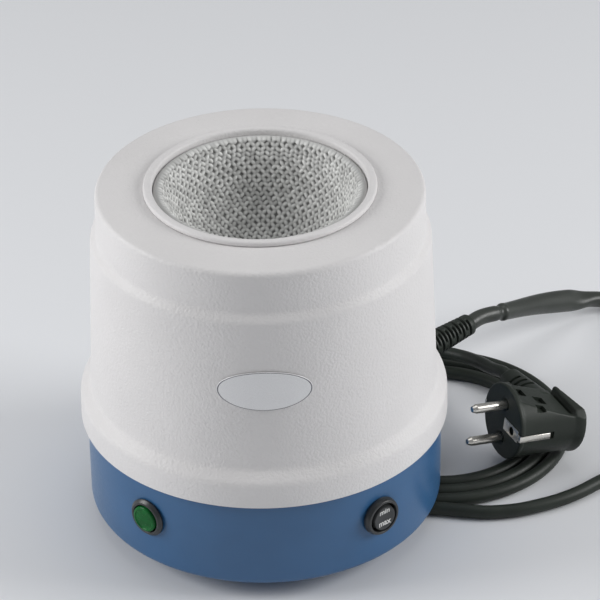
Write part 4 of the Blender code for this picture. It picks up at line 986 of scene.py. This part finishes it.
def make_nest():
    along, radius, height, face_r, face_z = nest_meridian()
    angle = 2 * math.pi * np.arange(NEST_COLUMNS) / NEST_COLUMNS
    crown, painted_shade_and_tone = stitch_height(along, radius, angle)
    rise = STITCH_RELIEF * (crown - STITCH_MIDDLE)
    r = np.maximum(radius[:, None] + face_r[:, None] * rise, NEST_POLE_RADIUS)
    z = height[:, None] + face_z[:, None] * rise
    cos, sin = np.cos(angle), np.sin(angle)
    rows = [np.stack([r[k] * cos, r[k] * sin, z[k]], -1) for k in range(len(along))]
    out, up = NEST_HEM_CREST
    shell = [(NEST_RIM_RADIUS + out, NEST_RIM_HEIGHT + up)]
    shell.append((NEST_RIM_RADIUS + NEST_HEM_WIDTH, NEST_RIM_HEIGHT))
    flare = math.radians(NEST_FLARE_ANGLE)
    away = NEST_RADIUS + NEST_THICKNESS
    for k in range(BACK_STEPS + 1):
        a = flare + (math.pi / 2 - flare) * k / BACK_STEPS
        shell.append((max(away * math.cos(a), NEST_POLE_RADIUS), NEST_CENTRE - away * math.sin(a)))
    outside = [np.stack([q * cos, q * sin, np.full_like(angle, h)], -1) for q, h in shell]
    rings = rows[::-1] + outside
    mesh = grid_mesh("knitted_nest", [[tuple(p) for p in ring] for ring in rings])
    # The crown attribute: painted shade between the stitches and painted highlight on their crowns,
    # times each stitch's tone; the unseen outside gets an even value.
    values = np.concatenate([painted_shade_and_tone[::-1].ravel(), np.full(NEST_COLUMNS * len(outside), NEST_BACK_TONE)])
    layer = mesh.attributes.new("crown", "FLOAT", "POINT")
    layer.data.foreach_set("value", values.astype(np.float32))
    piece("knitted_nest", mesh, "glass_knit", stands_for=("heating_nest",), sharp=KNIT_ANGLE)


# Controls

def bezel(name, azimuth, sizes, node_name):
    """A control's ring on the wall, with its barrel through it."""
    root = wall_frame(azimuth, CONTROL_HEIGHT, BASE_RADIUS)
    flange, front, height, bore = sizes["flange"], sizes["front"], sizes["height"], sizes["bore"]
    low = SEAT_GAP
    top = low + height
    corners = [(bore, -BARREL_DEPTH, BARREL_INNER_EDGE)]
    corners.append((BARREL_RADIUS, -BARREL_DEPTH, BARREL_OUTER_EDGE))
    corners += [(BARREL_RADIUS, low, 0), (flange, low, BEZEL_SEAT_EDGE)]
    corners.append((flange, low + BEZEL_SIDE_SHARE * height, BEZEL_SIDE_ROUND))
    corners += [(front, top, BEZEL_FRONT_ROUND), (bore + BEZEL_MOUTH_WIDENING, top, BEZEL_MOUTH_ROUND)]
    corners.append((bore, low + BEZEL_BORE_SHARE * height, BEZEL_BORE_ROUND))
    mesh = turned(name, rounded(corners), SMALL_SIDES, root)
    piece(name, mesh, "black_plastic", stands_for=(node_name,))


def make_button():
    """The green cap: a rim round a shallow groove, and a slightly raised middle."""
    bezel("button_surround", BUTTON_AZIMUTH, BUTTON_BEZEL, "button_bezel")
    root = wall_frame(BUTTON_AZIMUTH, CONTROL_HEIGHT, BASE_RADIUS)
    face = SEAT_GAP + BUTTON_BEZEL["height"] + BUTTON_PROUD
    back = face - BUTTON_LENGTH
    corners = [(0, back, 0), (BUTTON_RADIUS, back, BUTTON_BACK_EDGE)]
    corners.append((BUTTON_RADIUS, face - BUTTON_SIDE_DROP, BUTTON_SIDE_ROUND))
    corners += [(r, face + h, fillet) for r, h, fillet in mm_points(BUTTON_FACE)]
    mesh = turned("button_lens", rounded(corners), SMALL_SIDES, root)
    piece("button_lens", mesh, "green_lens", "button", ("power_button",))


def rocker_height(x, y):
    """Height of the rocker's dished face over its axis."""
    share = min(1.0, math.hypot(x, y) / (ROCKER_RIM * ROCKER_BALL))
    return ROCKER_CROWN - ROCKER_DISH * (1 - share**2)


def make_rocker():
    """A ball cut flat behind and dished in front, which turns in its bezel."""
    bezel("rocker_surround", ROCKER_AZIMUTH, ROCKER_BEZEL, "rocker_bezel")
    root = wall_frame(ROCKER_AZIMUTH, CONTROL_HEIGHT, BASE_RADIUS)
    axis = root @ Matrix.Translation((0, 0, ROCKER_AXIS))
    side = ROCKER_CROWN - ROCKER_EDGE + ROCKER_BACK
    outline = [(0, -ROCKER_BACK)]
    for k in range(ROCKER_SIDE_STEPS + 1):
        h = -ROCKER_BACK + side * k / ROCKER_SIDE_STEPS
        outline.append((math.sqrt(ROCKER_BALL**2 - h**2), h))
    rim = ROCKER_RIM * ROCKER_BALL
    outline.append((rim + ROCKER_EDGE, ROCKER_CROWN - ROCKER_RIM_DROP))
    for k in range(ROCKER_DISH_STEPS, -1, -1):
        x = rim * k / ROCKER_DISH_STEPS
        outline.append((x, rocker_height(x, 0)))
    mesh = turned("rocker", outline, SMALL_SIDES, axis)
    piece("rocker", mesh, "black_plastic", "rocker", ("min_max_rocker",))
    for words, up in ROCKER_WORDS.items():
        letters(words, up, axis)


def letters(words, up, axis):
    """A printed word on the rocker's face."""
    curve = bpy.data.curves.new(f"print_{words}", "FONT")
    curve.body = words
    curve.size = WORD_SIZE
    curve.align_x = "CENTER"
    curve.align_y = "CENTER"
    curve.extrude = WORD_HALF_THICKNESS
    curve.offset = WORD_STROKE
    obj = bpy.data.objects.new(f"print_{words}", curve)
    bpy.context.scene.collection.objects.link(obj)
    bpy.context.view_layer.update()
    mesh = bpy.data.meshes.new_from_object(obj.evaluated_get(bpy.context.evaluated_depsgraph_get()))
    bpy.data.objects.remove(obj)
    for vertex in mesh.vertices:
        x, y, z = vertex.co
        vertex.co = (x, y + up, z + rocker_height(x, y + up) + WORD_LIFT)
    mesh.transform(axis)
    piece(f"print_{words}", mesh, "white_coat", "rocker", finish=PRINT_WHITE)


# Badge

def on_cone(across, height, lift):
    share = (height - CONE_BOTTOM) / (CONE_TOP - CONE_BOTTOM)
    radius = CONE_BOTTOM_RADIUS + share * (CONE_TOP_RADIUS - CONE_BOTTOM_RADIUS) + lift
    a = math.radians(BADGE_AZIMUTH) + across / radius
    return (math.sin(a) * radius, -math.cos(a) * radius, height)


def badge_rings(levels):
    """Ovals on the cone, each a share of the badge's size and lifted off the wall."""
    rings = []
    for share, lift in levels:
        ring = []
        for k in range(BADGE_POINTS):
            a = 2 * math.pi * k / BADGE_POINTS
            across = math.cos(a) * BADGE_HALF_WIDTH * share
            up = math.sin(a) * BADGE_HALF_HEIGHT * share
            ring.append(on_cone(across, BADGE_HEIGHT + up, lift * MM + SEAT_GAP))
        rings.append(ring)
    return rings


def make_badge():
    """A bare oval plate bent to the cone, with a thin dark line round its edge."""
    plate = grid_mesh("badge", badge_rings(BADGE_PLATE))
    piece("badge", plate, "badge_foil", stands_for=("badge_plate",))
    line = grid_mesh("badge_line", badge_rings(BADGE_LINE), hoop=True)
    piece("badge_line", line, "black_plastic", finish=PRINT_GREY)


# Plug

def loft_x(name, stations):
    """A closed skin over ellipses at (x, middle z, half height, half depth) along X."""
    rings = []
    for x, z, tall, deep in stations:
        turn = [2 * math.pi * k / ARM_SIDES for k in range(ARM_SIDES)]
        rings.append([(x, tall * math.cos(a), z + deep * math.sin(a)) for a in turn])
    return grid_mesh(name, rings)


def moulded(mesh, parts):
    """Several forms grown together and softened, as one moulding."""
    work = bmesh.new()
    for part in (mesh, *parts):
        work.from_mesh(part)
    joined = mesh_from(mesh.name, work)
    obj = bpy.data.objects.new(mesh.name, joined)
    bpy.context.scene.collection.objects.link(obj)
    skin = obj.modifiers.new("skin", "REMESH")
    skin.mode = "VOXEL"
    skin.voxel_size = PLUG_GRAIN * MM
    soften = obj.modifiers.new("soften", "SMOOTH")
    soften.factor = PLUG_SOFTNESS
    soften.iterations = PLUG_SOFTENINGS
    result = bpy.data.meshes.new_from_object(obj.evaluated_get(bpy.context.evaluated_depsgraph_get()))
    bpy.data.objects.remove(obj)
    result.name = mesh.name
    return result


def block(low, high, matrix=None, edge=0.0):
    """A box between two corners in millimetres."""
    return box_mesh("block", mm_points([low])[0], mm_points([high])[0], matrix, edge * MM)


def at(x=0, y=0, z=0):
    """A shift in millimetres."""
    return Matrix.Translation((x * MM, y * MM, z * MM))


def grip_side(side):
    """The slanted floor of a finger hollow, above for side -1 and below for side 1."""
    return at(y=side * GRIP_ROOT) @ Matrix.Rotation(-side * math.radians(GRIP_LEAN), 4, "X")


def plug_form():
    """The main form: a round front, finger hollows, a plate behind them and the cable's arm."""
    body = turned("plug_moulding", rounded(mm_points(PLUG_OUTLINE)), PLUG_SIDES)
    wide = PLUG_CLEAR
    far = PLUG_BEYOND
    back = at(*BACK_CORNER) @ Matrix.Rotation(math.radians(-BACK_SLANT), 4, "Y")
    corner = at(*PLATE_CORNER) @ Matrix.Rotation(math.radians(PLATE_CORNER_TURN), 4, "Z")
    trims = [block((-far, -wide, -far), (far, wide, -BACK_TRIM), back)]
    trims.append(block((-wide, -wide, GRIP_END), (wide, 0, GRIP_START), grip_side(-1)))
    trims.append(block((LOWER_GRIP_SIDE, 0, -far), (wide, wide, GRIP_START), grip_side(1)))
    trims.append(block((-wide, -wide, -far), (wide, -PLATE_HALF_WIDTH, PLATE_START)))
    trims.append(block(*PLATE_GROOVE))
    trims.append(block((SHOULDER_SIDE, -wide, -far), (wide, wide, SHOULDER_DEPTH)))
    trims.append(block((-wide, 0, -far), (wide, wide, PLATE_START), corner))
    arm = loft_x("arm", mm_points(ARM_STATIONS))
    return moulded(carved(body, trims), [arm])


def make_plug():
    root = plug_frame()
    cuts = []
    for x, front in ARM_SLOTS:
        for low, high in ARM_SLOT_SIDES:
            near = (x - ARM_SLOT_HALF_WIDTH, low, front - ARM_SLOT_LENGTH)
            cuts.append(block(near, (x + ARM_SLOT_HALF_WIDTH, high, front)))
    for x, z, long, wide in GRIP_POCKETS:
        near = (x - long, GRIP_POCKET_OUT, z - wide)
        cuts.append(block(near, (x + long, GRIP_POCKET_DEPTH, z + wide), grip_side(-1)))
    for up in PIN_PLACES.values():
        cuts.append(turned("well", mm_points(PIN_WELL), BORE_SIDES, at(y=up)))
    cuts.append(turned("earth", mm_points(EARTH_WELL), BORE_SIDES, at(x=EARTH_PLACE)))
    cuts += [block(*NEAR_CLIP_SEAT), block(*FAR_CLIP_SEAT)]
    mesh = carved(plug_form(), cuts)
    mesh.transform(root)
    plug = piece("plug_moulding", mesh, "black_rubber", stands_for=("plug_body",), sharp=MOULDED_ANGLE)
    return [plug, *make_pins(root), *make_clips(root)]


def make_pins(root):
    made = []
    for label, up in PIN_PLACES.items():
        mesh = turned(f"pin_{label}", rounded(mm_points(PIN_OUTLINE)), PIN_SIDES, root @ at(y=up))
        made.append(piece(f"pin_{label}", mesh, "nickel", stands_for=(f"plug_pin_{label}",)))
    return made


def make_clips(root):
    """Earth contacts: a strip along the side, and on one side a tongue over the face with its hole."""
    hole = turned("hole", mm_points(EARTH_HOLE), BORE_SIDES, at(x=EARTH_PLACE))
    tongue = carved(block(*CLIP_TONGUE, None, TONGUE_EDGE), [hole])
    neck = block(*CLIP_NECK, None, TONGUE_EDGE)
    near = carved(block(*NEAR_CLIP, None, CLIP_EDGE), [neck, tongue], "UNION")
    near.transform(root)
    far = block(*FAR_CLIP, root, CLIP_EDGE)
    return [
        piece("earth_clip_near", near, "nickel", stands_for=("plug_earth_clip_near",)),
        piece("earth_clip_far", far, "nickel", stands_for=("plug_earth_clip_far",)),
    ]


# Studio

def make_floor():
    work = bmesh.new()
    bmesh.ops.create_grid(work, x_segments=1, y_segments=1, size=FLOOR_HALF_SIZE)
    finish = new_finish("studio_floor", FLOOR_COLOUR, 0.9, Specular_IOR_Level=0.0)
    mesh = mesh_from("studio_floor", work)
    mesh.materials.append(finish)
    floor = bpy.data.objects.new("studio_floor", mesh)
    bpy.context.scene.collection.objects.link(floor)


def make_light():
    for name, spot, size, power in LAMPS:
        data = bpy.data.lights.new(name, "AREA")
        data.shape = "DISK"
        data.size = size
        data.energy = power
        lamp = bpy.data.objects.new(name, data)
        lamp.location = spot
        lamp.rotation_euler = (Vector(LAMP_AIM) - Vector(spot)).to_track_quat("-Z", "Y").to_euler()
        bpy.context.scene.collection.objects.link(lamp)
    world = bpy.data.worlds.new("studio")
    world.use_nodes = True
    sky = world.node_tree.nodes["Background"]
    sky.inputs["Color"].default_value = (*SKY_COLOUR, 1.0)
    sky.inputs["Strength"].default_value = SKY_STRENGTH
    bpy.context.scene.world = world
    bpy.context.scene.view_settings.view_transform = "Standard"


def main():
    make_camera()
    dress_nodes()
    cord = make_cord()
    with_pieces = [make_sleeve(), make_relief(), *make_plug()]
    relief_end()[0]
    make_gland()
    make_housing()
    make_collar()
    make_base()
    make_feet()
    make_nest()
    make_button()
    make_rocker()
    make_badge()
    make_floor()
    make_light()


main()
